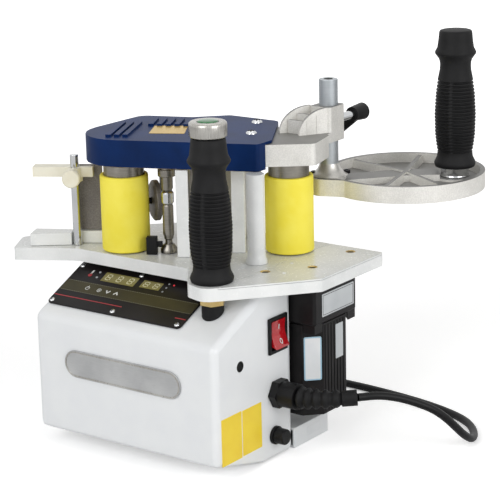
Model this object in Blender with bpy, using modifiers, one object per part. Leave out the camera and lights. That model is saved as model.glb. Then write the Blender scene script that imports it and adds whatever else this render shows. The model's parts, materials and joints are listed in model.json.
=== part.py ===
"""Desktop edge banding machine: housing, work plate, feed rollers, gear head, guide disc and grips.

Metres, +Z up. The origin is the middle of the flat underside; +X runs to the operator's right
along the front face and +Y runs away from the operator.
"""
import math

import bmesh
import bpy
from mathutils import Matrix, Vector

GAP = 0.0003
STEPS = 32

# housing
HOUSING_WIDTH = 0.190
HOUSING_FRONT = -0.110
HOUSING_BACK = -0.003
HOUSING_HEIGHT = 0.1497
SLOPE_START_HEIGHT = 0.1171
SLOPE_ANGLE = math.radians(25.2)
TOE_HEIGHT = 0.016
TOE_BACK = -0.046
SHEET = 0.002
FLOOR = 0.0025
HOUSING_CORNER = 0.006
TRAY_BACK = 0.048
TRAY_HEIGHT = 0.018

# control panel on the slope
PANEL_WIDTH = 0.142
PANEL_LENGTH = 0.056
PANEL_X = -0.020
PANEL_SETBACK = 0.0125
PANEL_THICK = 0.0015
PANEL_CORNER = 0.004

# front name plate, left bare
NAMEPLATE_WIDTH = 0.1226
NAMEPLATE_HEIGHT = 0.0236
NAMEPLATE_X = -0.0004
NAMEPLATE_Z = 0.080
NAMEPLATE_THICK = 0.0012

# right-hand wall fittings: positions along Y and Z
SWITCH_Y = -0.0257
SWITCH_Z = 0.1082
SWITCH_WIDTH = 0.0256
SWITCH_HEIGHT = 0.0310
SWITCH_FRAME_THICK = 0.0022
SWITCH_BORDER = 0.0014
SWITCH_DEPTH = 0.014
ROCKER_TILT = math.radians(10)
GLAND_Y = -0.0272
GLAND_Z = 0.0577
GLAND_NUT_RADIUS = 0.0128
GLAND_NUT_LENGTH = 0.0070
GLAND_BODY_RADIUS = 0.0108
GLAND_BODY_LENGTH = 0.0155
BOOT_RADIUS = 0.0098
BOOT_TIP_RADIUS = 0.0068
BOOT_END = (0.1605, -0.0063, 0.0594)
FUSE_Y = -0.0306
FUSE_Z = 0.0215
FUSE_RADIUS = 0.0078
FUSE_CAP_LENGTH = 0.012
VENT_HOLE_Y = -0.0765
VENT_HOLE_Z = 0.094
VENT_HOLE_RADIUS = 0.0046

# base plate
PLATE_TOP = 0.161
PLATE_THICK = 0.011
PLATE_RIGHT = 0.139
PLATE_REAR = 0.070
PLATE_FRONT = -0.056
SEAM_X = 0.084
WORK_SHEET = 0.0012

# feed direction, seen from above
FEED_ANGLE = math.radians(30)

# rollers
LEFT_ROLLER = (-0.0540, -0.0345)
RIGHT_ROLLER = (0.0677, 0.0344)
ROLLER_RADIUS = 0.0205
ROLLER_LENGTH = 0.065
ROLLER_LIFT = 0.001
CORE_RADIUS = 0.0172
SHAFT_RADIUS = 0.005
BEARING_RADIUS = 0.011

# head
COVER_BOTTOM = 0.237
COVER_TOP = 0.260
COVER_WALL = 0.0022
VENT_RIB_HALF = 0.0022
VENT_RIB_HEIGHT = 0.0020
HEAD_PLATE_THICK = 0.0025
CASTING_BOTTOM = 0.239
CASTING_TOP = 0.2574
CASTING_FLOOR = 0.004
SPROCKET_RADIUS = 0.0105
SPROCKET_TEETH = 16
CHAIN_THICK = 0.0026
CHAIN_BOTTOM = 0.2466
CHAIN_HEIGHT = 0.005

# column, clamp and guide disc
COLUMN = (0.0765, 0.0820)
COLUMN_RADIUS = 0.008
COLUMN_TOP = 0.301
BLOCK_LEFT = 0.0105
BLOCK_RIGHT = 0.0100
BLOCK_FRONT = 0.0130
BLOCK_REAR = 0.0103
BLOCK_CORNER = 0.003
BLOCK_BOTTOM = 0.249
BLOCK_TOP = 0.279
BRACKET_RUN = 0.027
BRACKET_LEAN = math.radians(58)
BRACKET_THICK = 0.0032
CLAMP_X = 0.0795
CLAMP_Z = 0.2655
CLAMP_STUD_RADIUS = 0.0036
CLAMP_STUD_LENGTH = 0.0202
LEVER_HUB_LENGTH = 0.018
CLAMP_HUB_RADIUS = 0.0074
LEVER_LENGTH = 0.032
LEVER_DROOP = math.radians(43)
DISC = (0.1210, 0.1340)
DISC_RADIUS = 0.068
DISC_TOP = 0.218
DISC_BOTTOM = 0.2035
DISC_WALL = 0.0042
DISC_FLOOR = 0.0060
DISC_RIB_TOP = 0.2165
DISC_RIB_ANGLES = (167, 110, -75, -29.5)
DISC_WEB_TOP = 0.2150
DISC_WEB_WIDTH = 0.024
COLUMN_BOSS_RADIUS = 0.0145
GRIP_BOSS_RADIUS = 0.0190
DISC_GRIP = (0.155, 0.159)
DISC_GRIP_BOSS_TOP = 0.2115
FERRULE_HEIGHT = 0.008

# grips: radius and height from the grip's lower end
GRIP_LENGTH = 0.1175
GRIP_PROFILE = (
    (0.0130, 1.0), (0.0140, 0.985), (0.0146, 0.93), (0.0156, 0.869), (0.0176, 0.839),
    (0.0160, 0.815), (0.0139, 0.788), (0.0131, 0.748), (0.0134, 0.71), (0.0143, 0.672),
    (0.0150, 0.642), (0.0167, 0.533), (0.0176, 0.387), (0.0171, 0.241), (0.0161, 0.168),
    (0.0149, 0.109), (0.0154, 0.073), (0.0170, 0.045), (0.0178, 0.029), (0.0174, 0.010), (0.0168, 0.0),
)
FRONT_GRIP = (0.068, -0.075)
RING_RADIUS = 0.0153
RING_HEIGHT = 0.0125
BUTTON_RADIUS = 0.0082
BUTTON_PROUD = 0.0012
STUD_END_Z = 0.1338

# cardan shaft
CARDAN = (-0.0158, -0.0244)
CARDAN_FOOT_RADIUS = 0.0072
CARDAN_PIN_RADIUS = 0.004

# glue pot and roller behind the left roller
GLUE_ROLLER = (-0.0180, 0.0160)
GLUE_ROLLER_RADIUS = 0.009
GLUE_POT_LOW = (-0.048, 0.0290, 0.1613)
GLUE_POT_HIGH = (0.014, 0.0700, 0.2300)
GLUE_WALL = 0.006

# left tape guide
GUIDE_ROD = (-0.099, -0.046)
GUIDE_ROD_RADIUS = 0.0037
GUIDE_ROD_TOP = 0.2405
GUIDE_BAR_BOTTOM = 0.2215
GUIDE_BAR_TOP = 0.2300

SENSOR = (-0.0245, -0.0363)

# posts
ROUND_POST = (0.0671, -0.0127)
ROUND_POST_RADIUS = 0.0074
SIDE_POST = (0.0346, 0.0074)
SIDE_PANEL = (0.0042, -0.0297)

# feed wheel
WHEEL = (-0.041, -0.009, 0.200)
WHEEL_RADIUS = 0.0175
WHEEL_WIDTH = 0.008
WHEEL_AXIS_ANGLE = math.radians(52)

# gear motor
MOTOR = (0.0855, 0.0295)
GEARBOX_SIZE = 0.063
GEARBOX_BOTTOM = 0.110
GEARBOX_LUG_BOTTOM = 0.1035
GEARBOX_LUG = 0.0125
OUTPUT_DEPTH = 0.018
MOTOR_SIZE = 0.060
MOTOR_BOTTOM = 0.030
MOTOR_CHAMFER = 0.013

# mains lead
CORD_RADIUS = 0.0034
CORD_ROUTE = (
    (0.1611, -0.0057, 0.0594), (0.1653, -0.0007, 0.0594), (0.1747, 0.0089, 0.0590),
    (0.1883, 0.0235, 0.0540), (0.2046, 0.0410, 0.0430), (0.2130, 0.0540, 0.0300),
    (0.2170, 0.0680, 0.0160), (0.2160, 0.0840, 0.0065), (0.2090, 0.1010, 0.0037), (0.1960, 0.1170, 0.0037),
    (0.1780, 0.1290, 0.0037), (0.1500, 0.1390, 0.0037), (0.1150, 0.1460, 0.0037),
    (0.0750, 0.1500, 0.0037), (0.0350, 0.1510, 0.0037), (-0.0272, 0.1500, 0.0037),
)
COIL_CENTRE = (-0.050, 0.105)
COIL_MEAN_RADIUS = 0.0395
COIL_WIDTH = 0.0145
COIL_HEIGHT = 0.0285
PLUG_LENGTH = 0.036
PLUG_RADIUS = 0.0125
PLUG_EXIT = math.radians(150)
PLUG_LEAD = 0.026
PIN_SHIFT = 0.0095

CHAIN_CENTRES = (RIGHT_ROLLER, GLUE_ROLLER, LEFT_ROLLER, CARDAN)
POCKET_REACH = SPROCKET_RADIUS + CHAIN_THICK + 0.0015
POCKET_BOTTOM = CASTING_BOTTOM + CASTING_FLOOR + 0.0004
POCKET_TOP = CASTING_TOP - 0.0035
PLATE_BOTTOM = PLATE_TOP - PLATE_THICK
SIDE_FACE = HOUSING_WIDTH / 2
CORE_TOP = CASTING_BOTTOM - GAP
ROLLER_BOTTOM = PLATE_TOP + ROLLER_LIFT
ROLLER_TOP = ROLLER_BOTTOM + ROLLER_LENGTH
ACROSS = Vector((-math.sin(FEED_ANGLE), math.cos(FEED_ANGLE), 0))


def clear_scene():
    for old in list(bpy.data.objects):
        bpy.data.objects.remove(old)


def collection(name):
    made = bpy.data.collections.new(name)
    bpy.context.scene.collection.children.link(made)
    return made


def finish(name, colour, roughness, metallic=0.0):
    """A Principled material for one sub-part."""
    made = bpy.data.materials.new(name)
    made.use_nodes = True
    shader = made.node_tree.nodes["Principled BSDF"]
    shader.inputs["Base Color"].default_value = (*colour, 1)
    shader.inputs["Roughness"].default_value = roughness
    shader.inputs["Metallic"].default_value = metallic
    return made


WHITE = ((0.85, 0.87, 0.88), 0.35, 0.0)
CREAM = ((0.87, 0.85, 0.78), 0.45, 0.0)
BLACK = ((0.02, 0.02, 0.022), 0.5, 0.0)
RUBBER = ((0.02, 0.02, 0.022), 0.8, 0.0)
BLUE = ((0.01, 0.06, 0.22), 0.4, 0.0)
YELLOW = ((0.85, 0.74, 0.08), 0.6, 0.0)
STEEL = ((0.55, 0.53, 0.50), 0.35, 1.0)
CHROME = ((0.75, 0.75, 0.76), 0.12, 1.0)
ALUMINIUM = ((0.66, 0.65, 0.62), 0.45, 1.0)
ZINC = ((0.75, 0.62, 0.32), 0.3, 1.0)
RED = ((0.6, 0.02, 0.03), 0.3, 0.0)
GREEN = ((0.02, 0.30, 0.12), 0.35, 0.0)
BOARD = ((0.03, 0.22, 0.10), 0.5, 0.0)


def place(name, mesh, look, location=(0, 0, 0), turn=0.0):
    """Put a mesh in the machine as a named sub-part, turned about Z at its location."""
    made = bpy.data.objects.new(name, mesh)
    made.location = location
    made.rotation_euler = (0, 0, turn)
    if look is None:
        CUTTERS.objects.link(made)
        made.hide_render = True
        made.display_type = "WIRE"
    else:
        MACHINE.objects.link(made)
        mesh.materials.append(finish(name + "_finish", *look))
    return made


def outline_mesh(name, points, thickness):
    """A flat outline as a 2D curve of that thickness, made a mesh with its lower face at z = 0."""
    curve = bpy.data.curves.new(name, "CURVE")
    curve.dimensions = "2D"
    curve.fill_mode = "BOTH"
    curve.extrude = thickness / 2
    spline = curve.splines.new("POLY")
    spline.points.add(len(points) - 1)
    for point, (x, y) in zip(spline.points, points):
        point.co = (x, y, 0, 1)
    spline.use_cyclic_u = True
    return curve_mesh(curve, Matrix.Translation((0, 0, thickness / 2)))


def curve_mesh(curve, matrix=None):
    """The curve as a closed mesh, its caps welded."""
    holder = bpy.data.objects.new(curve.name, curve)
    bpy.context.scene.collection.objects.link(holder)
    graph = bpy.context.evaluated_depsgraph_get()
    mesh = bpy.data.meshes.new_from_object(holder.evaluated_get(graph))
    bpy.data.objects.remove(holder)
    work = bmesh.new()
    work.from_mesh(mesh)
    bmesh.ops.remove_doubles(work, verts=work.verts, dist=0.00001)
    bmesh.ops.recalc_face_normals(work, faces=work.faces)
    if matrix is not None:
        bmesh.ops.transform(work, matrix=matrix, verts=work.verts)
    work.to_mesh(mesh)
    work.free()
    return mesh


def prism(name, points, low, high, look=None, location=(0, 0), turn=0.0):
    """A flat outline from height low to height high."""
    mesh = outline_mesh(name, points, high - low)
    return place(name, mesh, look, (location[0], location[1], low), turn)


def box(name, low, high, look=None, turn=0.0, location=(0, 0, 0)):
    """A box between two corners, given about its location."""
    work = bmesh.new()
    size = [high[i] - low[i] for i in range(3)]
    middle = [(high[i] + low[i]) / 2 for i in range(3)]
    bmesh.ops.create_cube(work, size=1)
    bmesh.ops.scale(work, vec=size, verts=work.verts)
    bmesh.ops.translate(work, vec=middle, verts=work.verts)
    mesh = bpy.data.meshes.new(name)
    work.to_mesh(mesh)
    work.free()
    return place(name, mesh, look, location, turn)


def turned(name, profile, look=None, location=(0, 0, 0), steps=STEPS, ring=False):
    """A turned piece: the profile's (radius, height) points run down the outer side."""
    mesh = bpy.data.meshes.new(name)
    count = len(profile)
    edges = [(i, i + 1) for i in range(count - 1)]
    if ring:
        edges.append((count - 1, 0))
    mesh.from_pydata([(r, 0, z) for r, z in profile], edges, [])
    made = place(name, mesh, look, location)
    screw = made.modifiers.new("turn", "SCREW")
    screw.steps = steps
    screw.render_steps = steps
    screw.use_merge_vertices = True
    screw.merge_threshold = 0.00001
    screw.use_normal_calculate = False
    screw.use_smooth_shade = True
    return made


def rod(name, radius, low, high, look=None, location=(0, 0), steps=STEPS):
    """A plain cylinder along Z."""
    profile = ((0, high), (radius, high), (radius, low), (0, low))
    return turned(name, profile, look, (location[0], location[1], 0), steps)


def ring(name, outer, inner, low, high, look=None, location=(0, 0), steps=STEPS):
    """A plain tube along Z."""
    profile = ((outer, high), (outer, low), (inner, low), (inner, high))
    return turned(name, profile, look, (location[0], location[1], 0), steps, ring=True)


def boolean(target, tool, operation):
    modifier = target.modifiers.new(operation.lower(), "BOOLEAN")
    modifier.operation = operation
    modifier.solver = "EXACT"
    modifier.object = tool
    return target


def cut(target, tool):
    return boolean(target, tool, "DIFFERENCE")


def join(target, tool):
    return boolean(target, tool, "UNION")


def soften(target, width, segments=2, angle=math.radians(40)):
    bevel = target.modifiers.new("soften", "BEVEL")
    bevel.width = width
    bevel.segments = segments
    bevel.limit_method = "ANGLE"
    bevel.angle_limit = angle
    return target


def aim(target, direction):
    """Turn a piece built along Z so that its Z axis points along the direction."""
    target.rotation_euler = Vector(direction).to_track_quat("Z", "Y").to_euler()
    return target


def pose(location, direction, pieces):
    """Move pieces built about one origin to a location, their Z along the direction."""
    for piece in pieces:
        piece.location = location
        aim(piece, direction)


def rounded(corners, step=math.radians(15)):
    """A closed outline from (x, y, radius) corners, each corner an arc."""
    points = []
    count = len(corners)
    for index, (x, y, radius) in enumerate(corners):
        here = Vector((x, y))
        before = (Vector(corners[index - 1][:2]) - here).normalized()
        after = (Vector(corners[(index + 1) % count][:2]) - here).normalized()
        half = before.angle(after) / 2
        if radius <= 0:
            points.append((x, y))
            continue
        centre = here + (before + after).normalized() * radius / math.sin(half)
        start = here + before * radius / math.tan(half) - centre
        end = here + after * radius / math.tan(half) - centre
        sweep = start.angle_signed(end)
        pieces = max(1, round(abs(sweep) / step))
        for k in range(pieces + 1):
            turn = Matrix.Rotation(-sweep * k / pieces, 2)
            spoke = turn @ start
            points.append((centre.x + spoke.x, centre.y + spoke.y))
    return points


def inset(points, distance):
    """The closed outline moved inwards by a distance (outwards when negative)."""
    count = len(points)
    area = sum(points[i - 1][0] * points[i][1] - points[i][0] * points[i - 1][1] for i in range(count))
    side = 1 if area > 0 else -1
    moved = []
    for i in range(count):
        here = Vector(points[i])
        before = (here - Vector(points[i - 1])).normalized()
        after = (Vector(points[(i + 1) % count]) - here).normalized()
        normal = Vector((-before.y, before.x)) + Vector((-after.y, after.x))
        normal = normal.normalized() * side
        scale = max(0.3, normal.dot(Vector((-after.y, after.x)) * side))
        moved.append(tuple(here + normal * distance / scale))
    return moved


def slope_height(y):
    """Height of the housing's sloping face above a point along Y."""
    return SLOPE_START_HEIGHT + (y - HOUSING_FRONT) * math.tan(SLOPE_ANGLE)


def slope_end():
    return HOUSING_FRONT + (HOUSING_HEIGHT - SLOPE_START_HEIGHT) / math.tan(SLOPE_ANGLE)


def side_profile():
    """The housing's outline seen from the side, as (y, z)."""
    return [
        (HOUSING_FRONT, TOE_HEIGHT),
        (HOUSING_FRONT, SLOPE_START_HEIGHT),
        (slope_end(), HOUSING_HEIGHT),
        (HOUSING_BACK, HOUSING_HEIGHT),
        (HOUSING_BACK, 0),
        (TOE_BACK, 0),
    ]


def underside(y):
    """Height of the housing's underside, which rises towards the front."""
    return max(0.0, TOE_HEIGHT * (TOE_BACK - y) / (TOE_BACK - HOUSING_FRONT))


def side_prism(name, profile, left, right, look=None):
    """A (y, z) profile carried along X from left to right."""
    mesh = outline_mesh(name, profile, right - left)
    mesh.transform(Matrix(((0, 0, 1, left), (1, 0, 0, 0), (0, 1, 0, 0), (0, 0, 0, 1))))
    return place(name, mesh, look)


def housing_cover():
    """Folded sheet cover, open below, with the switch, gland, fuse and vent holes in its right wall."""
    outer = side_profile()
    cover = side_prism("housing_cover", outer, -SIDE_FACE, SIDE_FACE, WHITE)
    soften(cover, HOUSING_CORNER, 3, math.radians(20))
    inner = inset(outer, SHEET)
    for index in (0, 4, 5):
        inner[index] = (inner[index][0], inner[index][1] - 10 * SHEET)
    room = side_prism("cover_inside", inner, -SIDE_FACE + SHEET, SIDE_FACE - SHEET)
    cut(cover, soften(room, HOUSING_CORNER - SHEET, 3, math.radians(20)))
    slot_side = SIDE_FACE - HOUSING_CORNER + GAP
    cut(cover, box("floor_slot", (-slot_side, HOUSING_BACK - 2 * SHEET, -SHEET),
                   (slot_side, HOUSING_BACK + SHEET, FLOOR + GAP)))
    half = SWITCH_WIDTH / 2 - SWITCH_FRAME_THICK
    tall = SWITCH_HEIGHT / 2 - SWITCH_FRAME_THICK
    cut(cover, box("switch_hole", (SIDE_FACE - 2 * SHEET, SWITCH_Y - half, SWITCH_Z - tall),
                   (SIDE_FACE + SHEET, SWITCH_Y + half, SWITCH_Z + tall)))
    for name, y, z, radius in (
        ("gland_hole", GLAND_Y, GLAND_Z, GLAND_BODY_RADIUS - 0.002 + GAP),
        ("fuse_hole", FUSE_Y, FUSE_Z, FUSE_RADIUS - 0.001 + GAP),
        ("vent_hole", VENT_HOLE_Y, VENT_HOLE_Z, VENT_HOLE_RADIUS),
    ):
        drill = rod(name, radius, -2 * SHEET, 2 * SHEET)
        drill.location = (SIDE_FACE, y, z)
        cut(cover, aim(drill, (1, 0, 0)))


def base_tray():
    """Floor sheet under the cover, and the low closed box behind it."""
    inside = SIDE_FACE - HOUSING_CORNER
    front = HOUSING_FRONT + HOUSING_CORNER
    lift = underside(front) + GAP
    floor = ((front, lift), (TOE_BACK, 0), (0, 0), (0, FLOOR), (TOE_BACK, FLOOR), (front, lift + FLOOR))
    tray = side_prism("base_tray", floor, -inside, inside, WHITE)
    rear_front = HOUSING_BACK + GAP
    join(tray, box("tray_rear", (-SIDE_FACE, rear_front, 0), (SIDE_FACE, TRAY_BACK, TRAY_HEIGHT)))
    cut(tray, box("tray_inside", (-SIDE_FACE + SHEET, rear_front - SHEET, FLOOR),
                  (SIDE_FACE - SHEET, TRAY_BACK - SHEET, TRAY_HEIGHT - SHEET)))


def on_slope(target, x, y, lift=0.0):
    """Lay a piece built flat onto the sloping face at (x, y)."""
    normal = Vector((0, -math.sin(SLOPE_ANGLE), math.cos(SLOPE_ANGLE)))
    base = Vector((x, y, slope_height(y)))
    target.location = base + normal * (GAP + lift)
    target.rotation_euler = (SLOPE_ANGLE, 0, 0)
    return target


def control_panel():
    """Black overlay panel screwed to the slope."""
    half = PANEL_WIDTH / 2
    far = PANEL_LENGTH
    corners = rounded([(x, y, PANEL_CORNER) for x, y in ((-half, 0), (half, 0), (half, far), (-half, far))])
    panel = prism("control_panel", corners, 0, PANEL_THICK, BLACK)
    on_slope(panel, PANEL_X, HOUSING_FRONT + PANEL_SETBACK)


def nameplate():
    """Bare plate with fully rounded ends on the front face."""
    half = NAMEPLATE_WIDTH / 2
    tall = NAMEPLATE_HEIGHT / 2
    end = tall - GAP / 10
    edge = rounded([(x, y, end) for x, y in ((-half, -tall), (half, -tall), (half, tall), (-half, tall))])
    plate = prism("nameplate", edge, 0, NAMEPLATE_THICK, ALUMINIUM)
    plate.location = (NAMEPLATE_X, HOUSING_FRONT - GAP, NAMEPLATE_Z)
    plate.rotation_euler = (math.pi / 2, 0, 0)


def rocker_switch():
    """Black snap-in frame, and the red rocker that tips in it about its own middle."""
    half = SWITCH_WIDTH / 2
    tall = SWITCH_HEIGHT / 2
    lip = SWITCH_FRAME_THICK
    face = SIDE_FACE + GAP
    frame = box("rocker_frame", (face, SWITCH_Y - half, SWITCH_Z - tall),
                (face + lip, SWITCH_Y + half, SWITCH_Z + tall), BLACK)
    body_half = half - SWITCH_FRAME_THICK - GAP
    body_tall = tall - SWITCH_FRAME_THICK - GAP
    join(frame, box("rocker_well", (face - SWITCH_DEPTH, SWITCH_Y - body_half, SWITCH_Z - body_tall),
                    (face + lip / 2, SWITCH_Y + body_half, SWITCH_Z + body_tall)))
    room_half = body_half - SWITCH_BORDER / 2
    room_tall = body_tall - SWITCH_BORDER / 2
    cut(frame, box("rocker_space", (face - SWITCH_DEPTH + SHEET, SWITCH_Y - room_half, SWITCH_Z - room_tall),
                   (face + 2 * lip, SWITCH_Y + room_half, SWITCH_Z + room_tall)))
    reach = room_tall - SWITCH_BORDER / 2
    wide = room_half - GAP
    root = reach * 0.55
    side = ((-0.0060, -root), (0.0045, -reach), (0.0020, 0), (0.0045, reach), (-0.0060, root))
    rocker = side_prism("rocker", side, -wide, wide, RED)
    rocker.location = (face, SWITCH_Y, SWITCH_Z)
    swap = Matrix(((0, 1, 0, 0), (1, 0, 0, 0), (0, 0, 1, 0), (0, 0, 0, 1)))
    rocker.data.transform(Matrix.Rotation(-ROCKER_TILT, 4, (0, 1, 0)) @ swap)
    rocker.data.flip_normals()


def cable_gland():
    """Hexagon nut, gland body through the wall, and the ribbed boot round the lead."""
    face = SIDE_FACE + GAP
    gland = hexagon("cable_gland", GLAND_NUT_RADIUS, 0, GLAND_NUT_LENGTH, BLACK)
    reach = GLAND_NUT_LENGTH + GLAND_BODY_LENGTH
    tube = rod("gland_tube", GLAND_BODY_RADIUS, GLAND_NUT_LENGTH - 0.001, reach)
    thread = rod("gland_thread", GLAND_BODY_RADIUS - 0.002, -0.010, 0.001)
    bore = rod("gland_bore", CORD_RADIUS + 0.0025, -0.02, 0.06)
    join(gland, tube)
    join(gland, thread)
    cut(gland, bore)
    pose((face, GLAND_Y, GLAND_Z), (1, 0, 0), (gland, tube, thread, bore))
    start = Vector((face + GLAND_NUT_LENGTH + GLAND_BODY_LENGTH + GAP, GLAND_Y, GLAND_Z))
    end = Vector(BOOT_END)
    bend = start + Vector(((end - start).length * 0.30, 0, 0))
    boot = bpy.data.curves.new("cord_boot", "CURVE")
    boot.dimensions = "3D"
    boot.bevel_depth = BOOT_RADIUS
    boot.bevel_resolution = 3
    boot.use_fill_caps = True
    spline = boot.splines.new("POLY")
    count = 14
    spline.points.add(count)
    spline.points[0].co = (*start, 1)
    straight = Vector((0.002, 0, 0))
    for index in range(count):
        t = index / (count - 1)
        at = (start + straight) * (1 - t) ** 2 + (bend + straight) * 2 * t * (1 - t) + end * t ** 2
        spline.points[index + 1].co = (*at, 1)
        spline.points[index + 1].radius = 1 + (BOOT_TIP_RADIUS / BOOT_RADIUS - 1) * t
    place("cord_boot", curve_mesh(boot), RUBBER)


def hexagon(name, radius, low, high, look=None, location=(0, 0)):
    """A six-sided bar along Z, its radius to the corners."""
    made = turned(name, ((0, high), (radius, high), (radius, low), (0, low)), look, (*location, 0), 6)
    made.modifiers["turn"].use_smooth_shade = False
    return made


def fuse():
    """Fuse holder through the wall, and its bayonet cap."""
    face = SIDE_FACE + GAP
    holder = rod("fuse_holder", FUSE_RADIUS, 0, 0.0025, BLACK)
    barrel = rod("fuse_barrel", FUSE_RADIUS - 0.001, -0.020, 0.001)
    join(holder, barrel)
    top = FUSE_CAP_LENGTH
    cap = turned("fuse_cap", (
        (0, top), (0.0058, top), (0.0066, top - 0.001), (0.0068, 0.0028), (0, 0.0028),
    ), BLACK)
    key = box("fuse_key", (-0.0074, -0.0012, 0.0032), (0.0074, 0.0012, top - 0.002))
    join(cap, key)
    pose((face, FUSE_Y, FUSE_Z), (1, 0, 0), (holder, barrel, cap, key))


def plate_outline():
    """The base plate seen from above: left wing along the feed, and a tab for the front grip."""
    return rounded((
        (-0.1400, -0.0830, 0.003), (-0.0920, PLATE_FRONT, 0.030), (0.0290, PLATE_FRONT, 0.008),
        (0.0560, -0.0920, 0.010), (0.0760, -0.0980, 0.012), (0.0900, -0.0820, 0.010),
        (PLATE_RIGHT, -0.0230, 0.004), (PLATE_RIGHT, PLATE_REAR, 0.004), (-0.0600, PLATE_REAR, 0.010),
        (-0.1300, 0.0050, 0.012), (-0.1580, -0.0520, 0.006),
    ))


def base_plate():
    """Thick plate that carries everything, with a rebate for the hard work plate."""
    outline = plate_outline()
    plate = prism("base_plate", outline, PLATE_BOTTOM, PLATE_TOP, WHITE)
    rebate = PLATE_TOP - WORK_SHEET - GAP
    edge = 2 * PLATE_RIGHT
    cut(plate, box("rebate", (SEAM_X, -edge, rebate), (edge, edge, 2 * PLATE_TOP)))
    cut(plate, rod("grip_stud_hole", 0.0043, 0, 1, location=FRONT_GRIP))
    cut(plate, rod("left_shaft_hole", SHAFT_RADIUS + GAP, 0, 1, location=LEFT_ROLLER))
    cut(plate, rod("right_shaft_hole", SHAFT_RADIUS + 0.003, 0, 1, location=RIGHT_ROLLER))
    work = prism("work_plate", outline, rebate + GAP, PLATE_TOP, WHITE)
    cut(work, box("work_side", (-edge, -edge, 0), (SEAM_X + GAP, edge, 2 * PLATE_TOP)))
    for x, y in ((0.088, -0.030), (0.113, 0.0015), (0.1135, 0.0576)):
        for part in (plate, work):
            cut(part, rod("plate_hole", 0.0042, 0, 1, location=(x, y), steps=16))


def grip(name, base, lift, bore):
    """Rubber hand grip standing on the height lift."""
    profile = [(r, lift + h * GRIP_LENGTH) for r, h in GRIP_PROFILE]
    if bore:
        profile += [(bore, lift), (bore, lift + GRIP_LENGTH)]
        return turned(name, profile, RUBBER, (*base, 0), ring=True)
    profile = [(0, lift + GRIP_LENGTH)] + profile + [(0, lift)]
    return turned(name, profile, RUBBER, (*base, 0))


def front_handle():
    """Grip with the start button in its ring, on a stud through the plate with nut and bush."""
    stud_radius = 0.004
    lift = PLATE_TOP + GAP
    grip("front_grip", FRONT_GRIP, lift, stud_radius + GAP)
    low = lift + GRIP_LENGTH + GAP
    high = low + RING_HEIGHT
    well = BUTTON_RADIUS + GAP
    cap = turned("grip_ring", ((0, high), (RING_RADIUS - 0.001, high), (RING_RADIUS, high - 0.001),
                               (RING_RADIUS, low), (0, low)), CHROME, (*FRONT_GRIP, 0))
    cut(cap, rod("button_well", well, high - 0.006, 1, location=FRONT_GRIP))
    button_low = high - 0.006 + 0.0035
    rod("start_button", BUTTON_RADIUS, button_low, high + BUTTON_PROUD, GREEN, FRONT_GRIP)
    rod("handle_stud", stud_radius, STUD_END_Z + 0.004, low - GAP, STEEL, FRONT_GRIP, 16)
    nut = hexagon("handle_nut", 0.0108, PLATE_BOTTOM - 0.0078, PLATE_BOTTOM - GAP, ZINC, FRONT_GRIP)
    cut(nut, rod("nut_bore", stud_radius + GAP, 0, 1, location=FRONT_GRIP, steps=16))
    bush_top = PLATE_BOTTOM - 0.0078 - GAP
    bush = rod("handle_bush", 0.0092, slope_height(FRONT_GRIP[1]) - 0.0060, bush_top, RUBBER, FRONT_GRIP)
    cut(bush, rod("bush_bore", stud_radius + GAP, 0, 1, location=FRONT_GRIP, steps=16))
    wedge = box("bush_foot", (-0.03, -0.03, -0.03), (0.03, 0.03, 0))
    cut(bush, on_slope(wedge, FRONT_GRIP[0], FRONT_GRIP[1]))


def chain_wheel(name, centre, look=None):
    """Chain wheel with plain teeth inside the chain."""
    tip = SPROCKET_RADIUS
    root = tip - 0.0022
    count = SPROCKET_TEETH
    edge = []
    for tooth in range(count):
        for share, radius in ((-0.30, root), (-0.12, tip), (0.12, tip), (0.30, root)):
            angle = math.tau * (tooth + share) / count
            edge.append((radius * math.cos(angle), radius * math.sin(angle)))
    low = CHAIN_BOTTOM + 0.0008
    return prism(name, edge, low, CHAIN_BOTTOM + CHAIN_HEIGHT - 0.0008, look, centre)


def sprocket(name, centre, bore):
    """Chain wheel bored for its shaft."""
    wheel = chain_wheel(name, centre, STEEL)
    return cut(wheel, rod(name + "_bore", bore + GAP, 0, 1, location=centre))


def rollers():
    """Yellow sleeves on steel cores; the right core's shaft reaches down into the gearbox."""
    for side, centre, shaft_low in (("left", LEFT_ROLLER, PLATE_BOTTOM),
                                    ("right", RIGHT_ROLLER, GEARBOX_BOTTOM + OUTPUT_DEPTH)):
        ring(side + "_roller_sleeve", ROLLER_RADIUS, CORE_RADIUS + GAP, ROLLER_BOTTOM, ROLLER_TOP,
             YELLOW, centre, 48)
        top = CORE_TOP - (HEAD_PLATE_THICK + GAP if side == "left" else 0)
        shaft_top = CHAIN_BOTTOM + CHAIN_HEIGHT + 0.001
        turned(side + "_roller_core", (
            (0, shaft_top), (SHAFT_RADIUS, shaft_top), (SHAFT_RADIUS, top), (CORE_RADIUS, top),
            (CORE_RADIUS, ROLLER_BOTTOM), (SHAFT_RADIUS, ROLLER_BOTTOM), (SHAFT_RADIUS, shaft_low),
            (0, shaft_low),
        ), STEEL, (*centre, 0))
        sprocket(side + "_sprocket", centre, SHAFT_RADIUS)
        ring(side + "_upper_bearing", BEARING_RADIUS, SHAFT_RADIUS + GAP, CASTING_BOTTOM + GAP,
             CASTING_BOTTOM + CASTING_FLOOR + 0.001, STEEL, centre)


def cover_outline():
    """The blue cover seen from above."""
    return rounded((
        (-0.0970, -0.0746, 0.036), (0.0670, -0.0076, 0.004), (0.0670, 0.0120, 0.006),
        (0.0260, 0.0800, 0.008), (-0.0260, 0.0800, 0.008), (-0.0500, 0.0560, 0.010),
        (-0.0940, 0.0400, 0.012),
    ))


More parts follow.
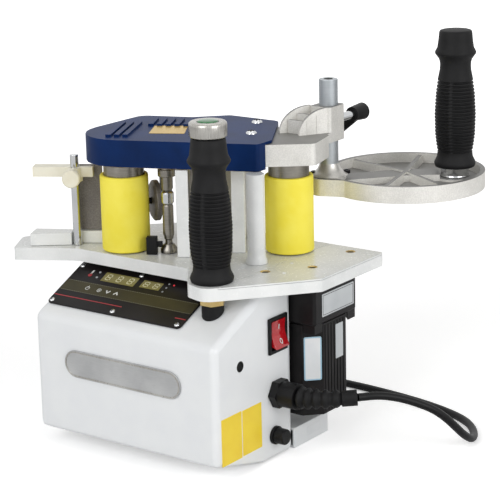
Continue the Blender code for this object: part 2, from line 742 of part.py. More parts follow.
def casting_outline():
    """The bare right-hand end of the head, seen from above."""
    return rounded((
        (0.0500, -0.0096, 0.003), (0.0990, 0.0280, 0.006), (0.0900, 0.0630, 0.005), (0.0620, 0.0730, 0.006),
        (0.0300, 0.0680, 0.004), (0.0100, 0.0200, 0.004),
    ))


def head_casting():
    """Aluminium head: floor under the cover, thick right end, ribs and the column's clamp block."""
    inner = inset(cover_outline(), COVER_WALL + 0.0008)
    head = prism("head_casting", inner, CASTING_BOTTOM, CASTING_BOTTOM + CASTING_FLOOR, ALUMINIUM)
    join(head, prism("head_end", casting_outline(), CASTING_BOTTOM, CASTING_TOP))
    block = rounded(((-BLOCK_LEFT, -BLOCK_FRONT, BLOCK_CORNER), (BLOCK_RIGHT, -BLOCK_FRONT, BLOCK_CORNER),
                     (BLOCK_RIGHT, BLOCK_REAR, BLOCK_CORNER), (-BLOCK_LEFT, BLOCK_REAR, BLOCK_CORNER)))
    join(head, prism("clamp_block", block, BLOCK_BOTTOM, BLOCK_TOP, None, COLUMN))
    for name, x in (("left_rib", -0.0120), ("right_rib", 0.0080)):
        join(head, bracket_rib(name, x))
    for share in (0.30, 0.62):
        join(head, bracket_web(share))
    right = COLUMN[0] + BLOCK_RIGHT
    left = COLUMN[0] - BLOCK_FRONT
    join(head, box("block_foot", (left, 0.060, BLOCK_BOTTOM), (right, 0.085, CASTING_TOP)))
    for centre, radius in ((LEFT_ROLLER, BEARING_RADIUS + GAP), (RIGHT_ROLLER, BEARING_RADIUS + GAP),
                           (CARDAN, 0.0065), (GLUE_ROLLER, 0.0045)):
        cut(head, rod("head_bore", radius, 0, POCKET_BOTTOM + 0.001, location=centre))
    cut(head, rod("column_bore", COLUMN_RADIUS + GAP, 0, 1, location=COLUMN))
    cut(head, prism("chain_room", loop_outline(CHAIN_CENTRES, POCKET_REACH), POCKET_BOTTOM, POCKET_TOP))


def bracket_rib(name, shift):
    """One of the two arched ribs between the head and the clamp block."""
    rise = BLOCK_TOP - CASTING_TOP
    run = BRACKET_RUN
    edge = [(run * (1 - math.cos(a)), CASTING_TOP - 0.0005 + (rise + 0.0005) * math.sin(a))
            for a in (math.radians(9 * k) for k in range(11))]
    edge += [(run + 0.002, BLOCK_TOP), (run + 0.002, CASTING_TOP - 0.002), (0, CASTING_TOP - 0.002)]
    mesh = outline_mesh(name, edge, BRACKET_THICK)
    stand = Matrix(((1, 0, 0, 0), (0, 0, 1, 0), (0, 1, 0, 0), (0, 0, 0, 1)))
    mesh.transform(stand)
    mesh.flip_normals()
    top = Vector((COLUMN[0] + shift, COLUMN[1] - BLOCK_FRONT + 0.001, 0))
    start = top - Vector((math.cos(BRACKET_LEAN), math.sin(BRACKET_LEAN), 0)) * run
    return place(name, mesh, None, start, BRACKET_LEAN)


def bracket_web(share):
    """A cross web between the two ribs."""
    top = Vector((COLUMN[0] - 0.0020, COLUMN[1] - BLOCK_FRONT + 0.001, 0))
    at = top - Vector((math.cos(BRACKET_LEAN), math.sin(BRACKET_LEAN), 0)) * BRACKET_RUN * (1 - share)
    height = CASTING_TOP + (BLOCK_TOP - CASTING_TOP) * math.sqrt(1 - (1 - share) ** 2) - 0.004
    return box("bracket_web", (-0.0098, -0.0012, CASTING_TOP - 0.001), (0.0098, 0.0012, height), location=at)


def top_cover():
    """Blue moulded cover over the chain, open towards the bare end of the head."""
    outline = cover_outline()
    cover = prism("top_cover", outline, COVER_BOTTOM, COVER_TOP, BLUE)
    soften(cover, 0.0015, 2)
    cut(cover, prism("cover_room", inset(outline, COVER_WALL), COVER_BOTTOM - 0.01, COVER_TOP - COVER_WALL))
    wider = inset(casting_outline(), -2 * GAP)
    cut(cover, prism("casting_passage", wider, COVER_BOTTOM - 0.01, CASTING_TOP + GAP))
    for index in range(3):
        start = (-0.0596 + 0.0062 * index, -0.0465 + 0.00355 * index)
        join(cover, vent_rib("long_rib", start, 0.0557, math.radians(116.2)))
    for index in range(5):
        start = (-0.0570 + 0.0069 * index, 0.0070 + 0.0034 * index)
        join(cover, vent_rib("short_rib", start, 0.0260, math.radians(117.5)))


def vent_rib(name, start, length, direction):
    """A raised rib on the cover's top."""
    return box(name, (0, -VENT_RIB_HALF, -0.001), (length, VENT_RIB_HALF, VENT_RIB_HEIGHT), turn=direction,
               location=(*start, COVER_TOP))


def head_plate():
    """Zinc-plated plate under the head, round the cover's foot."""
    outline = inset(cover_outline(), COVER_WALL + 0.0008)
    low = CASTING_BOTTOM - GAP - HEAD_PLATE_THICK
    plate = prism("head_plate", outline, low, CASTING_BOTTOM - GAP, ZINC)
    cut(plate, prism("plate_relief", inset(casting_outline(), -0.002), low - 0.01, CASTING_BOTTOM + 0.01))
    for centre, radius in ((LEFT_ROLLER, SHAFT_RADIUS + 0.001), (RIGHT_ROLLER, CORE_RADIUS + 0.001),
                           (CARDAN, 0.0065), (GLUE_ROLLER, 0.0045)):
        cut(plate, rod("plate_bore", radius, 0, 1, location=centre))


def drive_chain():
    """Chain loop round the four chain wheels, as a plain band."""
    inner = loop_outline(CHAIN_CENTRES, SPROCKET_RADIUS + 2 * GAP)
    outer = loop_outline(CHAIN_CENTRES, SPROCKET_RADIUS + CHAIN_THICK)
    high = CHAIN_BOTTOM + CHAIN_HEIGHT
    band = prism("drive_chain", outer, CHAIN_BOTTOM, high, STEEL)
    cut(band, prism("chain_inside", inner, CHAIN_BOTTOM - 0.01, high + 0.01))


def loop_outline(centres, radius):
    """A taut loop round equal circles, whose centres are given anticlockwise."""
    points = []
    count = len(centres)
    for index, centre in enumerate(centres):
        before = Vector(centre) - Vector(centres[index - 1])
        after = Vector(centres[(index + 1) % count]) - Vector(centre)
        first = math.atan2(-before.x, before.y)
        sweep = (math.atan2(-after.x, after.y) - first) % math.tau
        pieces = max(2, math.ceil(sweep / math.radians(12)))
        for k in range(pieces + 1):
            angle = first + sweep * k / pieces
            points.append((centre[0] + radius * math.cos(angle), centre[1] + radius * math.sin(angle)))
    return points


def cardan_shaft():
    """Universal-joint shaft from the chain down to its foot bearing."""
    collar_high = CASTING_BOTTOM + CASTING_FLOOR + 0.002
    top = CHAIN_BOTTOM + CHAIN_HEIGHT + 0.001
    turned("cardan_upper_yoke", (
        (0, top), (CARDAN_PIN_RADIUS, top), (CARDAN_PIN_RADIUS, collar_high - 0.004),
        (0.0055, collar_high - 0.004), (0.0055, 0.2335), (0.0076, 0.2335), (0.0076, 0.2275),
        (0.0050, 0.2270), (0.0050, 0.2172), (0.0040, 0.2150), (0, 0.2150),
    ), STEEL, (*CARDAN, 0), 24)
    sprocket("cardan_sprocket", CARDAN, CARDAN_PIN_RADIUS)
    turned("cardan_cross", (
        (0, 0.2147), (0.0040, 0.2147), (0.0054, 0.2130), (0.0054, 0.2050), (0.0042, 0.2033), (0, 0.2033),
    ), STEEL, (*CARDAN, 0), 24)
    turned("cardan_lower_shaft", (
        (0, 0.2030), (0.0040, 0.2030), (0.0047, 0.2015), (0.0047, 0.1770), (0.0040, 0.1755),
        (0.0040, 0.1735), (0.0030, 0.1725), (0.0030, PLATE_TOP + 0.002), (0, PLATE_TOP + 0.002),
    ), STEEL, (*CARDAN, 0), 24)
    turned("cardan_foot", (
        (0.0044, 0.1690), (CARDAN_FOOT_RADIUS, PLATE_TOP + 0.0035), (CARDAN_FOOT_RADIUS, PLATE_TOP + GAP),
        (0.0034, PLATE_TOP + GAP), (0.0034, 0.1690),
    ), CHROME, (*CARDAN, 0), 24, ring=True)


def glue_station():
    """Glue pot and its upright applicator roller, driven by the chain."""
    pot = box("glue_pot", GLUE_POT_LOW, GLUE_POT_HIGH, ALUMINIUM)
    inner_low = [GLUE_POT_LOW[i] + GLUE_WALL for i in range(3)]
    inner_high = (GLUE_POT_HIGH[0] - GLUE_WALL, GLUE_POT_HIGH[1] - GLUE_WALL, GLUE_POT_HIGH[2] + 0.01)
    cut(pot, box("pot_inside", inner_low, inner_high))
    top = CHAIN_BOTTOM + CHAIN_HEIGHT + 0.001
    pin = CARDAN_PIN_RADIUS
    roller = turned("glue_roller", (
        (0, top), (pin, top), (pin, 0.2320), (GLUE_ROLLER_RADIUS, 0.2320),
        (GLUE_ROLLER_RADIUS, PLATE_TOP + 0.004), (pin, PLATE_TOP + 0.004), (pin, PLATE_TOP + GAP),
        (0, PLATE_TOP + GAP),
    ), STEEL, (*GLUE_ROLLER, 0))
    join(roller, chain_wheel("glue_wheel", GLUE_ROLLER))


def column_and_disc():
    """Clamped column with the ribbed guide disc on its foot, and the disc's grip."""
    rod("column", COLUMN_RADIUS, DISC_TOP + GAP, COLUMN_TOP, STEEL, COLUMN)
    disc = rod("guide_disc", DISC_RADIUS, DISC_BOTTOM, DISC_TOP, ALUMINIUM, DISC, 64)
    arm = rounded((
        (0.0640, 0.0660, 0.007), (0.0780, 0.0620, 0.007), (0.1000, 0.0710, 0.030), (0.1130, 0.0685, 0),
        (0.1400, 0.0900, 0), (0.0900, 0.1560, 0), (0.0600, 0.1120, 0.020), (0.0580, 0.0900, 0.010),
    ))
    join(disc, prism("disc_arm", arm, DISC_BOTTOM, DISC_TOP))
    pan = rod("disc_pan", DISC_RADIUS - DISC_WALL, DISC_BOTTOM + DISC_FLOOR, 1, location=DISC, steps=64)
    join(pan, prism("arm_pan", inset(arm, DISC_WALL), DISC_BOTTOM + DISC_FLOOR, 0.9))
    cut(disc, pan)
    low = DISC_BOTTOM + DISC_FLOOR / 2
    join(disc, rod("column_boss", COLUMN_BOSS_RADIUS, low, DISC_TOP, location=COLUMN))
    for angle in DISC_RIB_ANGLES:
        join(disc, disc_rib(math.radians(angle)))
    join(disc, disc_web(COLUMN, COLUMN_RADIUS))
    join(disc, disc_web(DISC_GRIP, COLUMN_BOSS_RADIUS - GAP))
    join(disc, rod("grip_boss", GRIP_BOSS_RADIUS, low, DISC_GRIP_BOSS_TOP, location=DISC_GRIP))
    foot = DISC_GRIP_BOSS_TOP + GAP
    top = foot + FERRULE_HEIGHT
    turned("disc_ferrule", ((0, top), (0.0120, top), (0.0120, foot + 0.001), (0.0128, foot), (0, foot)),
           CHROME, (*DISC_GRIP, 0))
    grip("disc_grip", DISC_GRIP, top + GAP, 0)


def disc_rib(angle):
    """A straight tapered rib from the disc's middle to its rim."""
    low = DISC_BOTTOM + DISC_FLOOR / 2
    side = ((-0.0030, low), (0.0030, low), (0.0018, DISC_RIB_TOP), (-0.0018, DISC_RIB_TOP))
    rib = side_prism("disc_rib", side, -0.002, DISC_RADIUS - DISC_WALL / 2)
    rib.location = (*DISC, 0)
    rib.rotation_euler = (0, 0, angle)
    return rib


def disc_web(end, short):
    """A flat raised web from the disc's middle to just short of a boss's middle."""
    reach = Vector(end) - Vector(DISC)
    half = DISC_WEB_WIDTH / 2
    low = DISC_BOTTOM + DISC_FLOOR / 2
    return box("disc_web", (-0.004, -half, low), (reach.length - short, half, DISC_WEB_TOP),
               turn=math.atan2(reach.y, reach.x), location=(*DISC, 0))


def clamp():
    """Stud behind the block, and the drooping lever that pinches the block onto the column."""
    start = Vector((CLAMP_X, COLUMN[1] + BLOCK_REAR + GAP, CLAMP_Z))
    back = Vector((0, 1, 0))
    stud = rod("clamp_stud", CLAMP_STUD_RADIUS, 0, CLAMP_STUD_LENGTH, CHROME)
    stud.location = start
    aim(stud, back)
    low = CLAMP_STUD_LENGTH + GAP
    high = low + LEVER_HUB_LENGTH
    neck = CLAMP_HUB_RADIUS - 0.0012
    hub = turned("clamp_lever", (
        (0, high), (neck, high), (CLAMP_HUB_RADIUS, high - 0.0012), (neck, low), (0, low),
    ), BLACK)
    hub.location = start
    aim(hub, back)
    arm = turned("lever_arm", (
        (0, LEVER_LENGTH), (0.0022, LEVER_LENGTH), (0.0033, LEVER_LENGTH - 0.0015), (0.0055, 0), (0, 0),
    ), steps=16)
    arm.location = start + back * (low + high) / 2
    aim(arm, Vector((-math.cos(LEVER_DROOP), 0, -math.sin(LEVER_DROOP))))
    join(hub, arm)


def feed_wheel():
    """Ridged tape feed wheel on an arm that hangs from the head."""
    axis = Vector((math.cos(WHEEL_AXIS_ANGLE), math.sin(WHEEL_AXIS_ANGLE), 0))
    half = WHEEL_WIDTH / 2
    radius = WHEEL_RADIUS
    wheel = turned("feed_wheel", (
        (0, half), (radius - 0.007, half), (radius - 0.003, half - 0.0012), (radius, half - 0.002),
        (radius, -half + 0.002), (radius - 0.003, -half), (0, -half),
    ), STEEL)
    wheel.location = WHEEL
    aim(wheel, axis)
    cut(wheel, bore_along("wheel_bore", 0.0030, WHEEL, axis))
    rise = CASTING_BOTTOM - 3 * GAP - HEAD_PLATE_THICK - WHEEL[2]
    arm = box("wheel_arm", (-0.006, -0.0015, -0.006), (0.006, 0.0015, rise), ALUMINIUM)
    arm.location = Vector(WHEEL) + axis * (half + 0.0025)
    arm.rotation_euler = (0, 0, WHEEL_AXIS_ANGLE - math.pi / 2)
    pin = rod("wheel_pin", 0.0027, -half - 0.0035, half + 0.0030)
    pin.location = WHEEL
    join(arm, aim(pin, axis))


def bore_along(name, radius, centre, axis):
    drill = rod(name, radius, -0.05, 0.05)
    drill.location = centre
    return aim(drill, axis)


def posts():
    """Pillars between plate and head."""
    low = PLATE_TOP + GAP
    head = CASTING_BOTTOM - GAP
    rim = COVER_BOTTOM - GAP
    turned("round_post", ((0, rim), (ROUND_POST_RADIUS, rim), (ROUND_POST_RADIUS, low + 0.005),
                          (ROUND_POST_RADIUS + 0.0015, low), (0, low)), WHITE, (*ROUND_POST, 0))
    under = head - HEAD_PLATE_THICK - GAP
    box("side_post", (-0.0055, -0.004, low), (0.0055, 0.004, under), WHITE, FEED_ANGLE, (*SIDE_POST, 0))
    box("side_panel", (-0.0052, -0.0018, low), (0.0052, 0.0018, under), WHITE, FEED_ANGLE, (*SIDE_PANEL, 0))


def tape_guide():
    """Chrome rod with the height-set upper guide, and the fixed lower rail and back plates."""
    rod("guide_rod", GUIDE_ROD_RADIUS, PLATE_TOP + GAP, GUIDE_ROD_TOP, CHROME, GUIDE_ROD)
    bar = box("guide_bar", (-0.036, -0.003, GUIDE_BAR_BOTTOM), (0.016, 0.003, GUIDE_BAR_TOP), CREAM,
              FEED_ANGLE, (*GUIDE_ROD, 0))
    join(bar, box("guide_bar_rear", (-0.036, -0.003, GUIDE_BAR_BOTTOM), (-0.001, 0.009, GUIDE_BAR_TOP), None,
                  FEED_ANGLE, (*GUIDE_ROD, 0)))
    boss_low = GUIDE_BAR_BOTTOM - 0.004
    join(bar, rod("guide_boss", 0.0068, boss_low, GUIDE_BAR_TOP - 0.0005, location=GUIDE_ROD))
    cut(bar, rod("guide_bore", GUIDE_ROD_RADIUS + GAP, 0, 1, location=GUIDE_ROD))
    front = -ACROSS
    knob = turned("guide_knob", (
        (0, 0.0120), (0.0068, 0.0120), (0.0078, 0.0108), (0.0078, 0.0055), (0.0035, 0.0050),
        (0.0035, 0.0006), (0, 0.0006),
    ), CREAM)
    middle = (GUIDE_BAR_BOTTOM + GUIDE_BAR_TOP) / 2 - 0.003
    knob.location = Vector((*GUIDE_ROD, middle)) + front * 0.0068
    aim(knob, front)
    low = PLATE_TOP + GAP
    rail_top = PLATE_TOP + 0.0110
    foot = ((-0.0402, -0.0068), (-0.0050, -0.0024), (-0.0050, 0.0045), (0.0220, 0.0045), (0.0220, 0.0105),
            (-0.0050, 0.0105), (-0.0389, 0.0125))
    rail = prism("guide_rail", foot, low, rail_top, WHITE, GUIDE_ROD)
    rail.rotation_euler = (0, 0, FEED_ANGLE)
    cut(rail, rod("rail_rod_hole", GUIDE_ROD_RADIUS + GAP, 0, 1, location=GUIDE_ROD))
    under = CASTING_BOTTOM - 2 * GAP - HEAD_PLATE_THICK
    box("guide_plate", (0.0020, 0.0003, rail_top + GAP), (0.0220, 0.0033, under - 0.006), STEEL, FEED_ANGLE,
        Vector((*GUIDE_ROD, 0)) + ACROSS * 0.0075)


def edge_sensor():
    """Black limit switch body by the cardan foot."""
    low = PLATE_TOP + GAP
    body = box("edge_sensor", (-0.0045, -0.0035, low), (0.0045, 0.0035, low + 0.0150), BLACK,
               FEED_ANGLE, (*SENSOR, 0))
    join(body, box("sensor_wing", (0.0040, -0.0015, low + 0.0060), (0.0090, 0.0015, low + 0.0110), None,
                   FEED_ANGLE, (*SENSOR, 0)))


def gear_motor():
    """Gearbox under the plate and the finned motor body under it."""
    half = GEARBOX_SIZE / 2
    x, y = MOTOR
    top = PLATE_BOTTOM - GAP
    gearbox = box("gearbox", (x - half, y - half, GEARBOX_BOTTOM), (x + half, y + half, top), BLACK)
    soften(gearbox, 0.002, 1)
    side = half - 0.001
    near = half - GEARBOX_LUG
    for sx, sy in ((1, 1), (-1, 1), (-1, -1), (1, -1)):
        corner = [(x + sx * a, y + sy * b) for a, b in ((side, side), (near, side), (side, near))]
        corner = corner if sx == sy else corner[::-1]
        join(gearbox, prism("gearbox_lug", corner, GEARBOX_LUG_BOTTOM, GEARBOX_BOTTOM + 0.001))
    seat = GEARBOX_BOTTOM + OUTPUT_DEPTH - 2 * GAP
    cut(gearbox, rod("output_bore", SHAFT_RADIUS + GAP, seat, 1, location=RIGHT_ROLLER))
    half = MOTOR_SIZE / 2
    corner = MOTOR_CHAMFER
    outline = []
    for sx, sy in ((1, 1), (-1, 1), (-1, -1), (1, -1)):
        first = (sx * half, sy * (half - corner))
        second = (sx * (half - corner), sy * half)
        outline += [first, second] if sx == sy else [second, first]
    prism("motor_body", outline, MOTOR_BOTTOM, GEARBOX_BOTTOM - GAP, BLACK, MOTOR)


def control_board():
    """Power supply and control board on the floor inside the housing."""
    low = FLOOR + 0.004
    board = box("control_board", (-0.070, -0.040, low), (0.050, -0.008, low + 0.0016), BOARD)
    join(board, box("transformer", (-0.060, -0.036, low + 0.001), (-0.022, -0.012, low + 0.030)))
    for x in (0.000, 0.020, 0.036):
        join(board, box("relay", (x, -0.032, low + 0.001), (x + 0.010, -0.016, low + 0.016)))
    for x in (-0.066, 0.044):
        join(board, box("board_foot", (x, -0.028, FLOOR + GAP), (x + 0.004, -0.020, low + 0.0005)))


def smooth_route(points, spacing):
    """Points read at even steps from a Catmull-Rom curve through the route."""
    route = [Vector(p) for p in points]
    padded = [route[0] * 2 - route[1]] + route + [route[-1] * 2 - route[-2]]
    fine = []
    for i in range(1, len(padded) - 2):
        a, b, c, d = padded[i - 1:i + 3]
        for k in range(12):
            t = k / 12
            fine.append(0.5 * (2 * b + (c - a) * t + (2 * a - 5 * b + 4 * c - d) * t ** 2
                               + (3 * b - a - 3 * c + d) * t ** 3))
    fine.append(route[-1])
    length = sum((q - p).length for p, q in zip(fine, fine[1:]))
    count = round(length / spacing)
    even = [fine[0]]
    travelled = 0.0
    for p, q in zip(fine, fine[1:]):
        step = (q - p).length
        while travelled + step >= length * len(even) / count and len(even) < count:
            share = (length * len(even) / count - travelled) / step
            even.append(p.lerp(q, share))
        travelled += step
    return even + [route[-1]]


def mains_lead():
    """Lead from the boot along the floor to its coil behind the machine, and the plug beside it."""
    lead = bpy.data.curves.new("power_cord", "CURVE")
    lead.dimensions = "3D"
    lead.bevel_depth = CORD_RADIUS
    lead.bevel_resolution = 3
    lead.use_fill_caps = True
    route = smooth_route(CORD_ROUTE, 0.0075)
    spline = lead.splines.new("POLY")
    spline.points.add(len(route) - 1)
    for point, at in zip(spline.points, route):
        point.co = (*at, 1)
    place("power_cord", curve_mesh(lead), RUBBER)
    half = COIL_WIDTH / 2
    outer = COIL_MEAN_RADIUS + half
    inner = COIL_MEAN_RADIUS - half
    chamfer = 0.003
    high = COIL_HEIGHT
    turned("cord_coil", (
        (outer - chamfer, high), (outer, high - chamfer), (outer, GAP + chamfer), (outer - chamfer, GAP),
        (inner + chamfer, GAP), (inner, GAP + chamfer), (inner, high - chamfer), (inner + chamfer, high),
    ), RUBBER, (*COIL_CENTRE, 0), 40, ring=True)
    plug = turned("mains_plug", (
        (0, PLUG_LENGTH), (PLUG_RADIUS, PLUG_LENGTH), (PLUG_RADIUS, PLUG_LENGTH * 0.55), (0.0060, 0.006),
        (0.0045, 0), (0, 0),
    ), BLACK, steps=24)
    pieces = [plug]
    for y in (-PIN_SHIFT, PIN_SHIFT):
        profile = [(r, z) for r, z in ((0, 0.019), (0.0024, 0.019), (0.0024, -0.001), (0, -0.001))]
        pin = turned("plug_pin", profile, steps=12)
        pin.data.transform(Matrix.Translation((0, 0, PLUG_LENGTH)))
        join(plug, pin)
        pieces.append(pin)
    out = Vector((math.cos(PLUG_EXIT), math.sin(PLUG_EXIT), 0))
    along = Vector((-out.y, out.x, 0))
    tail = Vector((*COIL_CENTRE, PLUG_RADIUS + GAP)) + out * (outer - CORD_RADIUS) + along * PLUG_LEAD
    pose(tail, along, pieces)
    for pin, shift in zip(pieces[1:], (-PIN_SHIFT, PIN_SHIFT)):
        pin.location += out * shift


def main():
    housing_cover()
    base_tray()
    control_panel()
    nameplate()
    rocker_switch()
    cable_gland()
    fuse()
    base_plate()
    front_handle()
    rollers()
    head_casting()
    top_cover()
    head_plate()
    drive_chain()
    cardan_shaft()
    glue_station()
    column_and_disc()
    clamp()
    feed_wheel()
    posts()
    tape_guide()
    edge_sensor()
    gear_motor()
    control_board()
    mains_lead()


clear_scene()
MACHINE = collection("edge_banding_machine")
CUTTERS = collection("cutters")
main()
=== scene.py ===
"""Looks of a benchtop edge banding machine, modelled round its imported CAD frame.

Lengths are in metres in the frame's own axes: the origin is the middle of the flat underside,
+X runs to the operator's right along the front face, +Y away from the operator and +Z up.
"""
import json
import logging
import math
from dataclasses import dataclass
from enum import Enum
from typing import Sequence

import bmesh
import bpy
from mathutils import Matrix, Vector


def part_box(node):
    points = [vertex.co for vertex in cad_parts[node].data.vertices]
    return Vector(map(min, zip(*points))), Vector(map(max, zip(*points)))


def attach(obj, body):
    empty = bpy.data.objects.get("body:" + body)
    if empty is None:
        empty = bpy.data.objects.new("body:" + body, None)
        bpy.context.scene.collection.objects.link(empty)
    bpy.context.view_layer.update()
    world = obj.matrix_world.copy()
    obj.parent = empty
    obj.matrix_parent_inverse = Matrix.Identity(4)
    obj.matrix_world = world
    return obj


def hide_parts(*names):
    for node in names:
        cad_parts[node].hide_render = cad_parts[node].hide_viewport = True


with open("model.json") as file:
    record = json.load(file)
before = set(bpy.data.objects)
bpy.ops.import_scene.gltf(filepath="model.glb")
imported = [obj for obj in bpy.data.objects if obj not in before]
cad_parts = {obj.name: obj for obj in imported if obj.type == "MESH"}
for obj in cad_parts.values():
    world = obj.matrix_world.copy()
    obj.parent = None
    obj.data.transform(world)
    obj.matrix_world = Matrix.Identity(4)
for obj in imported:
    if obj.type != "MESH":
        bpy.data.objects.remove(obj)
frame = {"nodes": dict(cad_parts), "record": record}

LOG = logging.getLogger("edge_banding_machine")
MM = 0.001
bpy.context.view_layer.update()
BODY_OF = {
    node: body
    for body, nodes in frame["record"]["behaviour"]["bodies"].items()
    for node in nodes
}
UP = Vector((0, 0, 1))

Outline = Sequence[tuple[float, float]]
Profile = Sequence[tuple[float, float]]


# ---------------------------------------------------------------- finishes


def linear(code: str) -> tuple[float, float, float, float]:
    """Turn an sRGB hex colour into linear light.

    Args:
        code: Six hex digits with a leading hash.

    Returns:
        Red, green, blue and an alpha of 1.
    """
    channels = [int(code[i:i + 2], 16) / 255 for i in (1, 3, 5)]
    light = [c / 12.92 if c <= 0.04045 else ((c + 0.055) / 1.055) ** 2.4 for c in channels]
    return (*light, 1.0)


def add(
    tree: bpy.types.NodeTree,
    kind: str,
    settings: dict | None = None,
    links: dict | None = None,
) -> bpy.types.Node:
    """Add one shader node with its settings and its links.

    Args:
        tree: The node tree it goes in.
        kind: The node's type name.
        settings: Socket defaults, by the socket's name or number, or the node's own properties.
        links: Sockets that feed this node's inputs, by the input's name or number.

    Returns:
        The new node.
    """
    node = tree.nodes.new(kind)
    for key, value in (settings or {}).items():
        if isinstance(key, int) or key in node.inputs:
            node.inputs[key].default_value = value
        else:
            setattr(node, key, value)
    for key, source in (links or {}).items():
        tree.links.new(source, node.inputs[key])
    return node


class Grain(Enum):
    """How a finish's fine pattern is made."""

    SPECKLE = "speckle"
    CAST = "cast"


@dataclass(frozen=True)
class Finish:
    """One surface finish, with its colours as sRGB hex and its pattern sizes in millimetres."""

    name: str
    colour: str
    tint: str
    roughness: float
    metallic: float = 0.0
    ior: float = 1.5
    coat: float = 0.0
    mottle_mm: float = 24.0
    grain_mm: float = 0.6
    relief_mm: float = 0.01
    spread: float = 0.06
    contrast: float = 0.0
    stretch: tuple[float, float, float] = (1.0, 1.0, 1.0)
    grain: Grain = Grain.SPECKLE
    glow: float = 0.0
    # Share by which the upward faces are darkened: painted shade for the light that falls less on them.
    painted_top_shade: float = 0.0

    def material(self) -> bpy.types.Material:
        """Build the material, or return the one already built."""
        made = bpy.data.materials.get(self.name)
        if made is not None:
            return made
        made = bpy.data.materials.new(self.name)
        made.use_nodes = True
        tree = made.node_tree
        tree.nodes.clear()
        place = add(tree, "ShaderNodeTexCoord").outputs["Object"]
        grain = self._grain(tree, place)
        colour = self._mottle(tree, place)
        if self.painted_top_shade > 0:
            colour = self._paint_top_shade(tree, colour)
        if self.contrast > 0:
            colour = self._darken(tree, colour, grain, (0.3, 0.7), (1 - self.contrast, 1.0))
        shader = self._surface(tree, colour, grain)
        add(tree, "ShaderNodeOutputMaterial", None, {"Surface": shader.outputs[0]})
        made.diffuse_color = linear(self.colour)
        return made

    def _mottle(self, tree: bpy.types.NodeTree, place: bpy.types.NodeSocket) -> bpy.types.NodeSocket:
        """Drift softly between the finish's two colours.

        Args:
            tree: The material's node tree.
            place: Coordinates in metres.

        Returns:
            A colour socket.
        """
        scale = 1 / (self.mottle_mm * MM)
        cloud = add(tree, "ShaderNodeTexNoise", {"Scale": scale, "Detail": 3.0}, {"Vector": place})
        drift = add(
            tree, "ShaderNodeMapRange", {"From Min": 0.35, "From Max": 0.65}, {"Value": cloud.outputs[0]},
        )
        mixed = add(
            tree, "ShaderNodeMix",
            {"data_type": "RGBA", 6: linear(self.colour), 7: linear(self.tint)},
            {0: drift.outputs[0]},
        )
        return mixed.outputs[2]

    def _paint_top_shade(self, tree: bpy.types.NodeTree, colour: bpy.types.NodeSocket) -> bpy.types.NodeSocket:
        """Darken the faces that look up with painted shade, so they stand out less brightly than the upright
        ones.

        Args:
            tree: The material's node tree.
            colour: The colour so far.

        Returns:
            A colour socket.
        """
        normal = add(tree, "ShaderNodeTexCoord").outputs["Normal"]
        upward = add(tree, "ShaderNodeSeparateXYZ", None, {0: normal}).outputs[2]
        return self._darken(tree, colour, upward, (0.2, 0.9), (1.0, 1 - self.painted_top_shade))

    def _darken(
        self,
        tree: bpy.types.NodeTree,
        colour: bpy.types.NodeSocket,
        value: bpy.types.NodeSocket,
        read: tuple[float, float],
        give: tuple[float, float],
    ) -> bpy.types.NodeSocket:
        """Multiply a colour by a value that is first mapped from one span to another.

        Args:
            tree: The material's node tree.
            colour: The colour so far.
            value: What decides how dark it gets.
            read: The span of the value.
            give: The factors at both ends of that span.

        Returns:
            A colour socket.
        """
        span = {"From Min": read[0], "From Max": read[1], "To Min": give[0], "To Max": give[1]}
        factor = add(tree, "ShaderNodeMapRange", span, {"Value": value})
        product = add(
            tree, "ShaderNodeMix",
            {"data_type": "RGBA", "blend_type": "MULTIPLY", 0: 1.0}, {6: colour, 7: factor.outputs[0]},
        )
        return product.outputs[2]

    def _surface(
        self, tree: bpy.types.NodeTree, colour: bpy.types.NodeSocket, grain: bpy.types.NodeSocket
    ) -> bpy.types.Node:
        """Add the shader with its roughness and relief.

        Args:
            tree: The material's node tree.
            colour: The finished colour.
            grain: The fine pattern.

        Returns:
            The shader node.
        """
        bounds = {"To Min": self.roughness - self.spread, "To Max": self.roughness + self.spread}
        rough = add(tree, "ShaderNodeMapRange", bounds, {"Value": grain})
        relief = {"Strength": 0.6, "Distance": self.relief_mm * MM}
        bump = add(tree, "ShaderNodeBump", relief, {"Height": grain})
        shader = add(
            tree, "ShaderNodeBsdfPrincipled",
            {"Metallic": self.metallic, "IOR": self.ior, "Coat Weight": self.coat, "Coat Roughness": 0.08},
            {"Base Color": colour, "Roughness": rough.outputs[0], "Normal": bump.outputs[0]},
        )
        if self.glow > 0:
            shader.inputs["Emission Color"].default_value = linear(self.colour)
            shader.inputs["Emission Strength"].default_value = self.glow
        return shader

    def _grain(self, tree: bpy.types.NodeTree, place: bpy.types.NodeSocket) -> bpy.types.NodeSocket:
        """Add the fine pattern.

        Args:
            tree: The material's node tree.
            place: Coordinates in metres.

        Returns:
            A value socket from 0 to 1.
        """
        scale = 1 / (self.grain_mm * MM)
        spaced = add(tree, "ShaderNodeMapping", {"Scale": self.stretch}, {"Vector": place}).outputs[0]
        cloud = {"Scale": scale, "Detail": 4.0, "Roughness": 0.6}
        noise = add(tree, "ShaderNodeTexNoise", cloud, {"Vector": spaced}).outputs[0]
        if self.grain is not Grain.CAST:
            return noise
        spots = {"Scale": scale * 0.8, "Randomness": 1.0}
        pits = add(tree, "ShaderNodeTexVoronoi", spots, {"Vector": spaced})
        blend = add(
            tree, "ShaderNodeMix", {"data_type": "FLOAT", 0: 0.45}, {2: noise, 3: pits.outputs["Distance"]},
        )
        return blend.outputs[0]


# Powder-coated sheet: satin white, with the faint orange peel that the cured coat leaves.
POWDER_COAT = Finish(
    "white_powder_coat", "#EBEDEE", "#E8EAEC", 0.36, grain_mm=1.4, relief_mm=0.02, coat=0.15,
)
# Sprayed enamel on machined plate: smoother than the sheet, and a touch warmer; its upward faces get a little
# painted shade.
PLATE_ENAMEL = Finish(
    "white_plate_enamel", "#EEEFEE", "#E4E6E5", 0.26, grain_mm=2.0, relief_mm=0.012,
    painted_top_shade=0.1,
)
